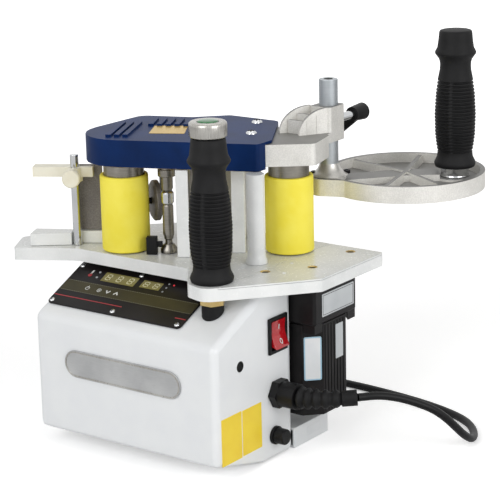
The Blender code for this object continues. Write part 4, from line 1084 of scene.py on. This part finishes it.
@dataclass
class KeyPanel:
    """Printed film on the slope: displays, lamps, keys and five screws."""

    slope: float = math.radians(25.2)
    edge_y: float = -0.0975
    edge_z: float = 0.12298
    rise: float = 1.8 * MM
    band: tuple[float, float] = (17.6, 31.0)
    left_u: float = -90.4
    right_u: float = 50.4
    line_v: float = 10.7
    dash: tuple[float, float] = (1.6, 0.44)
    dash_pitch: float = 2.4
    digit_tall: float = 11.0

    def build(self) -> None:
        """Dress the film and lay its parts on it."""
        softened("control_panel", BLACK_FILM, 0.3)
        self._band()
        self._display("temperature_display", -40.6, 41.2, 35.5, 11.0, 3)
        self._display("count_display", -6.6, 41.3, 20.5, 9.0, 2)
        self._thermometer()
        self._lamps()
        self._keys()
        self._screws()

    def spot(self, u: float, v: float, lift: float = 0.0) -> Matrix:
        """The matrix of a point on the film's face.

        Args:
            u: Millimetres along X.
            v: Millimetres up the slope from the film's lower edge.
            lift: Height above the face.

        Returns:
            A matrix whose local Z stands out of the film.
        """
        along = Vector((0, math.cos(self.slope), math.sin(self.slope)))
        out = Vector((0, -math.sin(self.slope), math.cos(self.slope)))
        edge = Vector((0, self.edge_y, self.edge_z)) + out * (self.rise + lift)
        return frame_at(edge + Vector((u * MM, 0, 0)) + along * v * MM, Vector((1, 0, 0)), along)

    def lay(
        self, name: str, outline: Outline, finish: Finish, u: float = 0.0, v: float = 0.0, high: float = 0.12
    ) -> None:
        """Lay a printed patch on the film.

        Args:
            name: The patch's name.
            outline: Its outline in millimetres about the spot.
            finish: Its ink.
            u: Millimetres along X.
            v: Millimetres up the slope.
            high: Thickness in millimetres.
        """
        patch = slab(in_mm(outline), -0.05 * MM, high * MM)
        dress(solid(name, patch, self.spot(u, v)), finish, "control_panel")

    def _band(self) -> None:
        """The olive band with its fine dashed edges, and the red line under it."""
        low, high = self.band
        self.lay("olive_band", between(self.left_u, low, self.right_u, high), OLIVE_FILM, high=0.05)
        long, wide = self.dash
        dashes = []
        for v in (low + 0.5, high - 0.5):
            for k in range(58):
                u = -89 + self.dash_pitch * k
                dashes.append(slab(in_mm(between(u, v - wide / 2, u + long, v + wide / 2)), 0, 0.08 * MM))
        dress(solid("band_dashes", merged(*dashes), self.spot(0, 0)), GREY_INK, "control_panel")
        for name, left, right in (
            ("red_line_left", self.left_u, -16.4),
            ("red_line_right", 39.5, self.right_u),
        ):
            self.lay(name, between(left, -0.45, right, 0.45), RED_INK, v=self.line_v, high=0.08)

    def _display(self, name: str, u: float, v: float, wide: float, tall: float, digits: int) -> None:
        """One display window with its unlit segment bars.

        Args:
            name: The window's name.
            u: Millimetres along X of its middle.
            v: Millimetres up the slope of its middle.
            wide: Its width in millimetres.
            tall: Its height in millimetres.
            digits: How many digits stand in it.
        """
        self.lay(name, rectangle(wide, tall, 0.4), AMBER_FILTER, u, v, 0.25)
        bars = []
        scale = tall / self.digit_tall
        slant = 0.14
        for index in range(digits):
            middle = wide / digits * (index + 0.5) - wide / 2
            for x, y, w, h in (
                (0, 3.3, 3.4, 0.8), (0, 0, 3.4, 0.8), (0, -3.3, 3.4, 0.8),
                (-2.2, 1.65, 0.8, 2.5), (2.2, 1.65, 0.8, 2.5),
                (-2.2, -1.65, 0.8, 2.5), (2.2, -1.65, 0.8, 2.5),
            ):
                right, up = middle + x + y * slant, y * scale
                bar = between(right - w / 2, up - h * scale / 2, right + w / 2, up + h * scale / 2)
                bars.append(slab(in_mm(bar), 0.2 * MM, 0.30 * MM))
        dress(solid(name + "_segments", merged(*bars), self.spot(u, v)), SEGMENT, "control_panel")

    def _thermometer(self) -> None:
        """The temperature sign: white stem and red bulb."""
        u = -72.6
        self.lay("thermometer_stem", between(-0.9, -0.2, 0.9, 4.6), WHITE_INK, u, 41.6)
        self.lay("thermometer_bulb", disc_outline(1.9, 24), RED_INK, u, 40.0)
        self.lay("thermometer_neck", between(-0.9, 0, 0.9, 2.6), RED_INK, u, 40.0)

    def _lamps(self) -> None:
        """Indicator lenses beside the displays."""
        for name, u, v, radius, finish in (
            ("heat_lamp", -65.2, 45.3, 1.25, LED_CLEAR), ("ready_lamp", -64.2, 38.8, 1.25, LED_CLEAR),
            ("run_lamp", 14.0, 46.2, 0.9, LED_RED), ("hold_lamp", 8.6, 46.6, 0.9, LED_CLEAR),
            ("length_lamp", 8.9, 41.8, 0.9, LED_CLEAR), ("cut_lamp", 8.4, 36.6, 0.9, LED_CLEAR),
        ):
            rim = in_mm([(radius, -0.1), (0, -0.1)])
            lens = lathe(dome(radius * MM, radius * 0.6 * MM, 6) + rim, 20)
            dress(solid(name, lens, self.spot(u, v)), finish, "control_panel")

    def _keys(self) -> None:
        """Four plain key signs on the olive band: on/off, set, down and up."""
        v = sum(self.band) / 2
        power_u, set_u = -63.7, -50.9
        for name, u in (("power_key_ring", power_u), ("set_key_ring", set_u)):
            band = frame_ring(disc_outline(2.1 * MM, 28), disc_outline(1.55 * MM, 28), 0, 0.12 * MM)
            dress(solid(name, band, self.spot(u, v)), WHITE_INK, "control_panel")
        self.lay("power_key_bar", between(-0.3, 0.3, 0.3, 3.0), WHITE_INK, power_u, v, 0.14)
        self.lay("set_key_dot", disc_outline(0.7, 16), WHITE_INK, set_u, v, 0.14)
        chevron = ((-2.6, -1.2), (-1.5, -1.9), (0, 0.5), (1.5, -1.9), (2.6, -1.2), (0, 2.2))
        self.lay("down_key", [(x, -y) for x, y in reversed(chevron)], WHITE_INK, -41.5, v)
        self.lay("up_key", chevron, WHITE_INK, -32.4, v)

    def _screws(self) -> None:
        """The film's fixing screws."""
        spots = ((-87.6, 49.4), (-23.4, 50.6), (-87.2, 3.6), (-21.3, 3.9), (46.4, 3.6))
        for number, (u, v) in enumerate(spots, 1):
            name = f"panel_screw_{number}"
            pan_screw(name, self.spot(u, v), 2.4 * MM, "control_panel", POLISHED_CHROME)


@dataclass
class WallFittings:
    """Rocker switch, cable gland and fuse holder on the right-hand wall."""

    face: float = 0.0953
    switch_y: float = -0.0257
    switch_z: float = 0.1082
    rocker_half_y: float = 0.0093
    rocker_reach: float = 0.0119
    pad_rise: float = 0.0027
    tip: float = math.radians(10)

    def build(self) -> None:
        """Build the switch, the gland and the fuse holder."""
        self._frame()
        self._rocker()
        self._gland()
        self._fuse()

    def _frame(self) -> None:
        """The snap-in frame with its rounded lip."""
        softened("rocker_frame", BLACK_NYLON, 0.7, 3)

    def _rocker(self) -> None:
        """The red rocker, its two pads hollowed across, with its generic I and O."""
        reach = self.rocker_reach
        steps = 10
        side = []
        for k in range(steps + 1):
            t = -1 + 2 * k / steps
            side.append((0.0020 + self.pad_rise * abs(t) ** 1.5, t * reach))
        side += [(-0.0055, reach * 0.55), (-0.0055, -reach * 0.55)]
        rocker = slab(side, -self.rocker_half_y, self.rocker_half_y, 0.5 * MM, 3)
        turn = Matrix.Rotation(-self.tip, 4, "Y")
        lay = Matrix(((1, 0, 0, 0), (0, 0, 1, 0), (0, 1, 0, 0), (0, 0, 0, 1)))
        hub = Matrix.Translation((self.face, self.switch_y, self.switch_z)) @ turn
        dress(solid("rocker_key", rocker, hub @ lay), RED_ROCKER, "rocker", ("rocker",))
        self._sign("rocker_on_bar", slab(rectangle(1.0 * MM, 4.0 * MM), 0, 0.15 * MM), hub, 1)
        zero = frame_ring(ellipse(1.75 * MM, 2.35 * MM), ellipse(1.05 * MM, 1.65 * MM), 0, 0.15 * MM)
        self._sign("rocker_off_ring", zero, hub, -1)

    def _sign(self, name: str, shape: bmesh.types.BMesh, hub: Matrix, half: int) -> None:
        """Lay a sign on one pad of the rocker.

        Args:
            name: The sign's name.
            shape: Its flat shape about the pad's middle.
            hub: The rocker's own frame.
            half: 1 for the upper pad, -1 for the lower.
        """
        spot = Vector((0.00335, 0, 0.0062 * half))
        out = Vector((1, 0, -0.29 * half)).normalized()
        up = Vector((0, 1, 0)).cross(out) * -1
        place = frame_at(spot, Vector((0, 1, 0)), up)
        dress(solid(name, shape, hub @ place), WHITE_INK, "rocker")

    def _gland(self) -> None:
        """The gland: a chamfered hexagon and a knurled cap."""
        softened("cable_gland", BLACK_NYLON, 0.7, 2, 40)

    def _fuse(self) -> None:
        """The fuse holder's threaded barrel and the slotted carrier in it."""
        softened("fuse_holder", BLACK_NYLON, 0.5)
        softened("fuse_cap", BLACK_NYLON, 0.4)


# ---------------------------------------------------------------- plate, handle and posts


@dataclass
class Plate:
    """Thick base plate, the thin work plate beside it, and the small fixings in them."""

    top: float = 0.161
    work_plate_left: float = 0.086
    holes: tuple[tuple[float, float, float], ...] = (
        (0.0880, -0.0300, 2.3), (0.1130, 0.0014, 2.3), (0.1135, 0.0576, 2.3),
    )
    screws: tuple[tuple[float, float, float], ...] = (
        (0.0656, -0.0314, 1.7), (0.1035, -0.0254, 1.5), (0.0916, 0.0023, 1.5), (0.1308, -0.0188, 1.5),
        (0.1315, 0.0576, 1.5),
    )

    def build(self) -> None:
        """Dress both plates and set their fixings."""
        softened("base_plate", PLATE_ENAMEL, 0.5)
        softened("work_plate", PLATE_ENAMEL, 0.25)
        for number, (x, y, radius) in enumerate(self.holes, 1):
            self._countersink(number, Matrix.Translation((x, y, self.top)), radius)
        for number, (x, y, radius) in enumerate(self.screws, 1):
            place = Matrix.Translation((x, y, self.top))
            host = "work_plate" if x > self.work_plate_left else "base_plate"
            profile = in_mm([
                (0, 0.08), (radius * 0.55, 0.08), (radius * 0.7, 0.3), (radius, 0.28),
                (radius * 1.15, -0.05), (0, -0.05),
            ])
            dress(solid(f"plate_screw_{number}", lathe(profile, 24), place), PLATE_ENAMEL, host)

    def _countersink(self, number: int, place: Matrix, radius: float) -> None:
        """One countersunk seat with its well drawn as a painted-shade disc.

        Args:
            number: Its number in the piece's name.
            place: Its middle on the plate's top.
            radius: Radius of its hole in millimetres.
        """
        profile = in_mm([
            (4.15, 0.06), (4.15, -1.2), (0, -1.6), (0, -1.0), (radius, -0.9), (3.4, -0.5), (3.9, 0.06),
            (4.15, 0.06),
        ])
        dress(solid(f"countersink_{number}", lathe(profile, 32), place), YELLOW_ZINC, "work_plate")
        # The well is a thin near-black disc: painted shade for the inside of the hole.
        well = lathe(in_mm([(0, -0.6), (2.7, -0.6), (2.7, -0.95), (0, -0.95)]), 24)
        dress(solid(f"countersink_well_{number}", well, place), PAINTED_HOLE_SHADE, "work_plate")


@dataclass
class Grips:
    """Two ribbed grips with their metalwork; the front one carries the start key."""

    length: float = 0.1175
    front: tuple[float, float, float] = (0.068, -0.075, 0.1613)
    rear: tuple[float, float, float] = (0.155, 0.159, 0.2201)
    profile: Profile = (
        (12.2, 1.0), (13.4, 0.996), (14.0, 0.985), (14.6, 0.93), (15.5, 0.875), (16.6, 0.858),
        (17.5, 0.842), (17.3, 0.83), (16.0, 0.815), (14.8, 0.801), (13.9, 0.788), (13.3, 0.768),
        (13.1, 0.748), (13.4, 0.71), (14.3, 0.672), (15.0, 0.642), (16.7, 0.533), (17.6, 0.387),
        (17.1, 0.241), (16.1, 0.168), (14.9, 0.109),
        (15.4, 0.073), (17.0, 0.045), (17.8, 0.029), (17.4, 0.010), (16.8, 0.0),
    )
    rib_top: float = 0.642
    rib_bottom: float = 0.109
    rib_pitch: float = 3.0 * MM
    rib_depth: float = 1.5 * MM
    rib: Profile = (
        (0.0, 0.0), (0.16, 0.0), (0.30, 0.8), (0.42, 1.0), (0.58, 1.0), (0.70, 0.8), (0.84, 0.0),
    )
    seam: float = math.radians(-75)
    seam_half: float = math.radians(9)

    def build(self) -> None:
        """Build both grips and dress their metalwork."""
        self._grip("front_grip", self.front)
        self._grip("disc_grip", self.rear)
        softened("handle_stud", POLISHED_CHROME, 0.3)
        softened("handle_nut", YELLOW_ZINC, 0.5)
        # The bush is black nylon; its black also stands in for the shaded hole in the slope round it, so it
        # is partly painted shade.
        softened("handle_bush", BLACK_NYLON, 0.8, 3)
        self._ring()
        self._button()

    def _levels(self) -> list[tuple[float, float, float]]:
        """(radius, height, groove share) down the grip, with the ribbed middle sampled finely."""
        plain = [(r * MM, share) for r, share in self.profile]
        levels = [(r, share * self.length, 0.0) for r, share in plain if share > self.rib_top]
        top, bottom = self.rib_top * self.length, self.rib_bottom * self.length
        steps = round((top - bottom) / self.rib_pitch)
        for rib in range(steps):
            for at, cut in self.rib:
                height = top - (rib + at) * (top - bottom) / steps
                levels.append((self._radius(height / self.length), height, cut))
        levels += [(r, share * self.length, 0.0) for r, share in plain if share <= self.rib_bottom]
        return levels

    def _radius(self, share: float) -> float:
        """Give the grip's radius.

        Args:
            share: Share of the grip's height.

        Returns:
            The radius.
        """
        for (upper, high), (lower, low) in zip(self.profile, self.profile[1:]):
            if low <= share <= high:
                return (lower + (upper - lower) * (share - low) / (high - low)) * MM
        return self.profile[-1][0] * MM

    def _grip(self, node: str, at: tuple[float, float, float]) -> None:
        """Loft a grip with rounded grooves that stop short at two mould seams.

        Args:
            node: The CAD node that it stands for.
            at: The middle of its lower end.
        """
        sides = 96
        work = bmesh.new()
        rings = []
        for radius, height, cut in self._levels():
            ring = []
            for k in range(sides):
                angle = math.tau * k / sides
                off = abs((angle - self.seam + math.pi / 2) % math.pi - math.pi / 2)
                fade = min(1.0, max(0.0, (off - self.seam_half * 0.35) / (self.seam_half * 0.5)))
                deep = radius - self.rib_depth * cut * fade
                ring.append(work.verts.new((deep * math.cos(angle), deep * math.sin(angle), height)))
            rings.append(ring)
        bridge(work, rings)
        work.faces.new(rings[0])
        work.faces.new(rings[-1])
        grip = solid(node + "_rubber", work, Matrix.Translation(at), 50)
        dress(grip, GRIP_RUBBER, node, (node,))

    def _ring(self) -> None:
        """The turned ring that caps the front grip, with a rounded shoulder and a well for the key."""
        low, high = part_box("grip_ring")
        tall = high.z - low.z
        outer = (high.x - low.x) / 2
        bore = 8.6 * MM
        profile = [
            (bore, tall - 1.6 * MM), (8.9 * MM, tall - 0.5 * MM), (9.6 * MM, tall - 0.1 * MM),
            (10.6 * MM, tall), (outer - 2.6 * MM, tall), (outer - 1.2 * MM, tall - 0.35 * MM),
            (outer - 0.3 * MM, tall - 1.3 * MM), (outer, tall - 2.6 * MM), (outer, 1.2 * MM),
            (outer - 0.5 * MM, 0.4 * MM), (outer - 1.2 * MM, 0), (bore, 0), (bore, tall - 1.6 * MM),
        ]
        place = Matrix.Translation((self.front[0], self.front[1], low.z))
        dress(solid("grip_cap_ring", lathe(profile, 72), place, 40), SATIN_RING, "grip_ring", ("grip_ring",))

    def _button(self) -> None:
        """The domed green start key."""
        low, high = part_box("start_button")
        radius = (high.x - low.x) / 2
        tall = high.z - low.z
        rise = 1.1 * MM
        profile = dome(radius * 0.97, rise, base=tall - rise)
        profile += [(radius, tall - rise - 0.5 * MM), (radius, 0), (0, 0)]
        place = Matrix.Translation((self.front[0], self.front[1], low.z))
        key = solid("start_key_dome", lathe(profile, 48), place)
        dress(key, GREEN_LENS, "start_button", ("start_button",))


@dataclass
class Posts:
    """Round post, side post and side panel that carry the head."""

    def build(self) -> None:
        """Dress the posts."""
        low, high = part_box("round_post")
        tall = high.z - low.z
        shaft, flare = 7.4 * MM, 8.9 * MM
        profile = [
            (0, tall), (shaft, tall), (shaft, 9.0 * MM), (7.9 * MM, 5.5 * MM), (flare, 2.6 * MM),
            (flare, 0), (0, 0),
        ]
        place = Matrix.Translation(((low.x + high.x) / 2, (low.y + high.y) / 2, low.z))
        post = solid("flared_post", lathe(profile, 64), place, 40)
        dress(post, PLATE_ENAMEL, "round_post", ("round_post",))
        softened("side_post", PLATE_ENAMEL, 0.5)
        softened("side_panel", PLATE_ENAMEL, 0.5)


# ---------------------------------------------------------------- rollers and drive


@dataclass
class Rollers:
    """Two yellow-covered feed rollers on turned steel cores."""

    sleeve_radius: float = 0.0205
    core_radius: float = 0.0172
    low: float = 0.162
    high: float = 0.227
    lip: float = 1.6 * MM

    def build(self) -> None:
        """Build both rollers and dress their bearings and sprockets."""
        for side, centre in (("left", (-0.0540, -0.0345)), ("right", (0.0677, 0.0344))):
            self._sleeve(side, centre)
            softened(side + "_roller_core", TURNED_STEEL, 0.5)
            softened(side + "_upper_bearing", POLISHED_CHROME, 0.4)
            softened(side + "_sprocket", TURNED_STEEL, 0.15)
        softened("cardan_sprocket", TURNED_STEEL, 0.15)
        softened("drive_chain", TURNED_STEEL, 0.3)

    def _sleeve(self, side: str, centre: tuple[float, float]) -> None:
        """The ground sleeve with rounded lips.

        Args:
            side: Which roller.
            centre: Its axis in plan.
        """
        tall = self.high - self.low
        bore = self.core_radius + 0.15 * MM
        r = self.sleeve_radius
        lip = self.lip
        profile = [
            (bore, tall - 0.4 * MM), (bore + 0.5 * MM, tall), (r - lip, tall),
            (r - lip * 0.38, tall - lip * 0.12), (r - lip * 0.08, tall - lip * 0.5), (r, tall - lip),
            (r, lip), (r - lip * 0.08, lip * 0.5), (r - lip * 0.38, lip * 0.12), (r - lip, 0),
            (bore + 0.5 * MM, 0), (bore, 0.4 * MM), (bore, tall - 0.4 * MM),
        ]
        node = side + "_roller_sleeve"
        place = Matrix.Translation((*centre, self.low))
        sleeve = solid(side + "_yellow_sleeve", lathe(profile, 96), place, 50)
        dress(sleeve, YELLOW_URETHANE, node, (node,))


@dataclass
class DriveShafts:
    """Cardan shaft, feed wheel on its arm, and the edge sensor."""

    def build(self) -> None:
        """Dress the shafts, wheel and sensor."""
        for node in ("cardan_upper_yoke", "cardan_lower_shaft", "cardan_foot"):
            softened(node, TURNED_STEEL, 0.4)
        softened("cardan_cross", POLISHED_CHROME, 0.3)
        softened("feed_wheel", GREY_FIBRE, 0.4)
        softened("wheel_arm", BLACK_NYLON, 0.6)
        softened("edge_sensor", BLACK_NYLON, 0.5)


@dataclass
class GlueStation:
    """Glue pot and glue roller behind the left roller."""

    def build(self) -> None:
        """Dress the pot and the roller."""
        softened("glue_pot", GROUND_CAST, 1.0)
        softened("glue_roller", TURNED_STEEL, 0.4)


# ---------------------------------------------------------------- head


@dataclass
class Head:
    """Cast gear head under its blue cover."""

    cover_top: float = 0.260

    def build(self) -> None:
        """Dress the casting and its plate and detail the cover."""
        softened("head_casting", SAND_CAST, 0.6)
        softened("head_plate", YELLOW_ZINC, 0.2)
        softened("top_cover", BLUE_COVER, 0.8, 3)
        corners = ((-0.0540, 0.0089), (-0.0386, -0.0182), (-0.0116, -0.0041), (-0.0288, 0.0234))
        label = slab(corners, self.cover_top - 0.1 * MM, self.cover_top + 0.2 * MM)
        dress(solid("cover_label", label), BRASS_LABEL, "top_cover")
        for number, (x, y) in enumerate(((0.0138, 0.0649), (0.0365, 0.0252)), 1):
            place = Matrix.Translation((x, y, self.cover_top))
            pan_screw(f"cover_screw_{number}", place, 4.8 * MM, "top_cover", POLISHED_CHROME)


@dataclass
class Column:
    """Ground column with its socket, its flared foot on the disc, and its clamp."""

    socket_radius: float = 4.2 * MM
    foot: Profile = (
        (8.05, 10.5), (8.8, 8.0), (10.2, 5.2), (12.4, 2.8), (15.4, 1.0), (16.0, 0.1), (8.05, 0.1),
        (8.05, 10.5),
    )
    foot_screws: Outline = ((0.0660, 0.0745), (0.0870, 0.0930))
    cap_screw: Profile = ((0, 1.2), (1.6, 1.2), (1.6, 2.8), (2.9, 2.8), (3.2, 2.4), (3.2, 0), (0, 0))

    def build(self) -> None:
        """Dress the column and the clamp."""
        softened("column", GROUND_COLUMN, 0.5)
        low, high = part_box("column")
        middle = Vector(((low.x + high.x) / 2, (low.y + high.y) / 2, 0))
        # The socket in the column's top is a thin near-black hexagon: painted shade in place of a cut socket.
        socket = slab(disc_outline(self.socket_radius, 6), -0.1 * MM, 0.12 * MM)
        top = Matrix.Translation(middle + UP * high.z)
        dress(solid("column_socket", socket, top), PAINTED_HOLE_SHADE, "column")
        self._foot(middle + UP * low.z)
        softened("clamp_stud", POLISHED_CHROME, 0.3)
        softened("clamp_lever", BLACK_NYLON, 0.8)

    def _foot(self, at: Vector) -> None:
        """Set the flared foot and its two socket screws on the disc.

        Args:
            at: The middle of the foot's underside.
        """
        flare = solid("column_foot", lathe(in_mm(self.foot), 48), Matrix.Translation(at))
        dress(flare, GROUND_CAST, "guide_disc")
        for number, (x, y) in enumerate(self.foot_screws, 1):
            place = Matrix.Translation((x, y, at.z + 0.4 * MM))
            screw = solid(f"foot_screw_{number}", lathe(in_mm(self.cap_screw), 24), place)
            dress(screw, BLACK_ANODISED, "guide_disc")


@dataclass
class GuideDisc:
    """Cast guide disc with its ferrule."""

    def build(self) -> None:
        """Dress the disc and the ferrule."""
        softened("guide_disc", SAND_CAST, 0.4, merge=False)
        softened("disc_ferrule", POLISHED_CHROME, 0.8)


@dataclass
class TapeGuide:
    """Tape guide at the left: rod, bar, knob, rail and plate."""

    def build(self) -> None:
        """Dress the guide."""
        softened("guide_rod", POLISHED_CHROME, 0.4)
        softened("guide_bar", CREAM_NYLON, 0.6)
        softened("guide_knob", CREAM_NYLON, 0.3)
        softened("guide_rail", PLATE_ENAMEL, 0.5)
        softened("guide_plate", GREY_FIBRE, 0.4)


@dataclass
class GearMotor:
    """Motor and gearbox at the back, with bare label places."""

    chamfer: float = 0.013
    label_at: tuple[float, float] = (0.03255, 0.12625)
    rib_count: int = 7
    rib_start: float = 0.0165
    rib_pitch: float = 0.0045

    def build(self) -> None:
        """Dress the motor and gearbox."""
        softened("gearbox", BLACK_ANODISED, 0.8)
        softened("motor_body", BLACK_ANODISED, 0.6)
        self._gearbox_label()
        self._motor_ribs()
        self._motor_labels()
        softened("control_board", CIRCUIT_BOARD, 0.0)

    def _gearbox_label(self) -> None:
        """A silver label with a black border line, bare."""
        side = frame_at(Vector((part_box("gearbox")[1].x, 0, 0)), Vector((0, 1, 0)), UP)
        label = slab(rectangle(0.0475, 0.0195, 0.8 * MM, self.label_at), 0, 0.2 * MM)
        dress(solid("gearbox_label", label, side), SILVER_VINYL, "gearbox")
        outer = rectangle(0.0450, 0.0170, 0.6 * MM, self.label_at)
        inner = rectangle(0.0442, 0.0162, 0.5 * MM, self.label_at)
        line = frame_ring(outer, inner, 0, 0.25 * MM)
        dress(solid("gearbox_label_line", line, side), BLACK_FILM, "gearbox")

    def _motor_ribs(self) -> None:
        """Shallow upright ribs on the motor's right face."""
        low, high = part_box("motor_body")
        inset = 2 * MM
        ribs = []
        for k in range(self.rib_count):
            y = low.y + self.rib_start + self.rib_pitch * k
            outline = rectangle(0.5 * MM, 2.2 * MM, 0.1 * MM, (high.x + 0.2 * MM, y))
            ribs.append(slab(outline, low.z + inset, high.z - inset))
        dress(solid("motor_ribs", merged(*ribs)), BLACK_ANODISED, "motor_body")

    def _motor_labels(self) -> None:
        """A white label on the motor's front corner and a silver one beside it, both bare."""
        low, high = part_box("motor_body")
        corner = self.chamfer / 2
        middle = Vector((high.x - corner, low.y + corner, 0))
        place = frame_at(middle, Vector((1, 1, 0)).normalized(), UP)
        plain = rectangle(0.0150, 0.0380, 1.5 * MM, (0, 0.0800))
        inner = rectangle(0.0128, 0.0358, 0.8 * MM, (0, 0.0800))
        dress(solid("motor_label", slab(plain, 0, 0.15 * MM), place), WHITE_VINYL, "motor_body")
        edge = frame_ring(plain, inner, 0, 0.2 * MM)
        dress(solid("motor_label_edge", edge, place), BLUE_VINYL, "motor_body")
        side = frame_at(Vector((high.x, 0, 0)), Vector((0, 1, 0)), UP)
        strip = slab(rectangle(0.0110, 0.0300, 0.5 * MM, (0.0355, 0.0895)), 0, 0.6 * MM)
        dress(solid("motor_side_label", strip, side), SILVER_VINYL, "motor_body")


def main() -> None:
    """Build the studio, the lead and every sub-assembly."""
    logging.basicConfig(level=logging.INFO, format="%(message)s")
    for part in (
        Studio(), MainsLead(), Housing(), KeyPanel(), WallFittings(), Plate(), Grips(), Posts(), Rollers(),
        DriveShafts(), GlueStation(), Head(), Column(), GuideDisc(), TapeGuide(), GearMotor(),
    ):
        part.build()
        LOG.info("built %s", type(part).__name__)


if __name__ == "__main__":
    main()
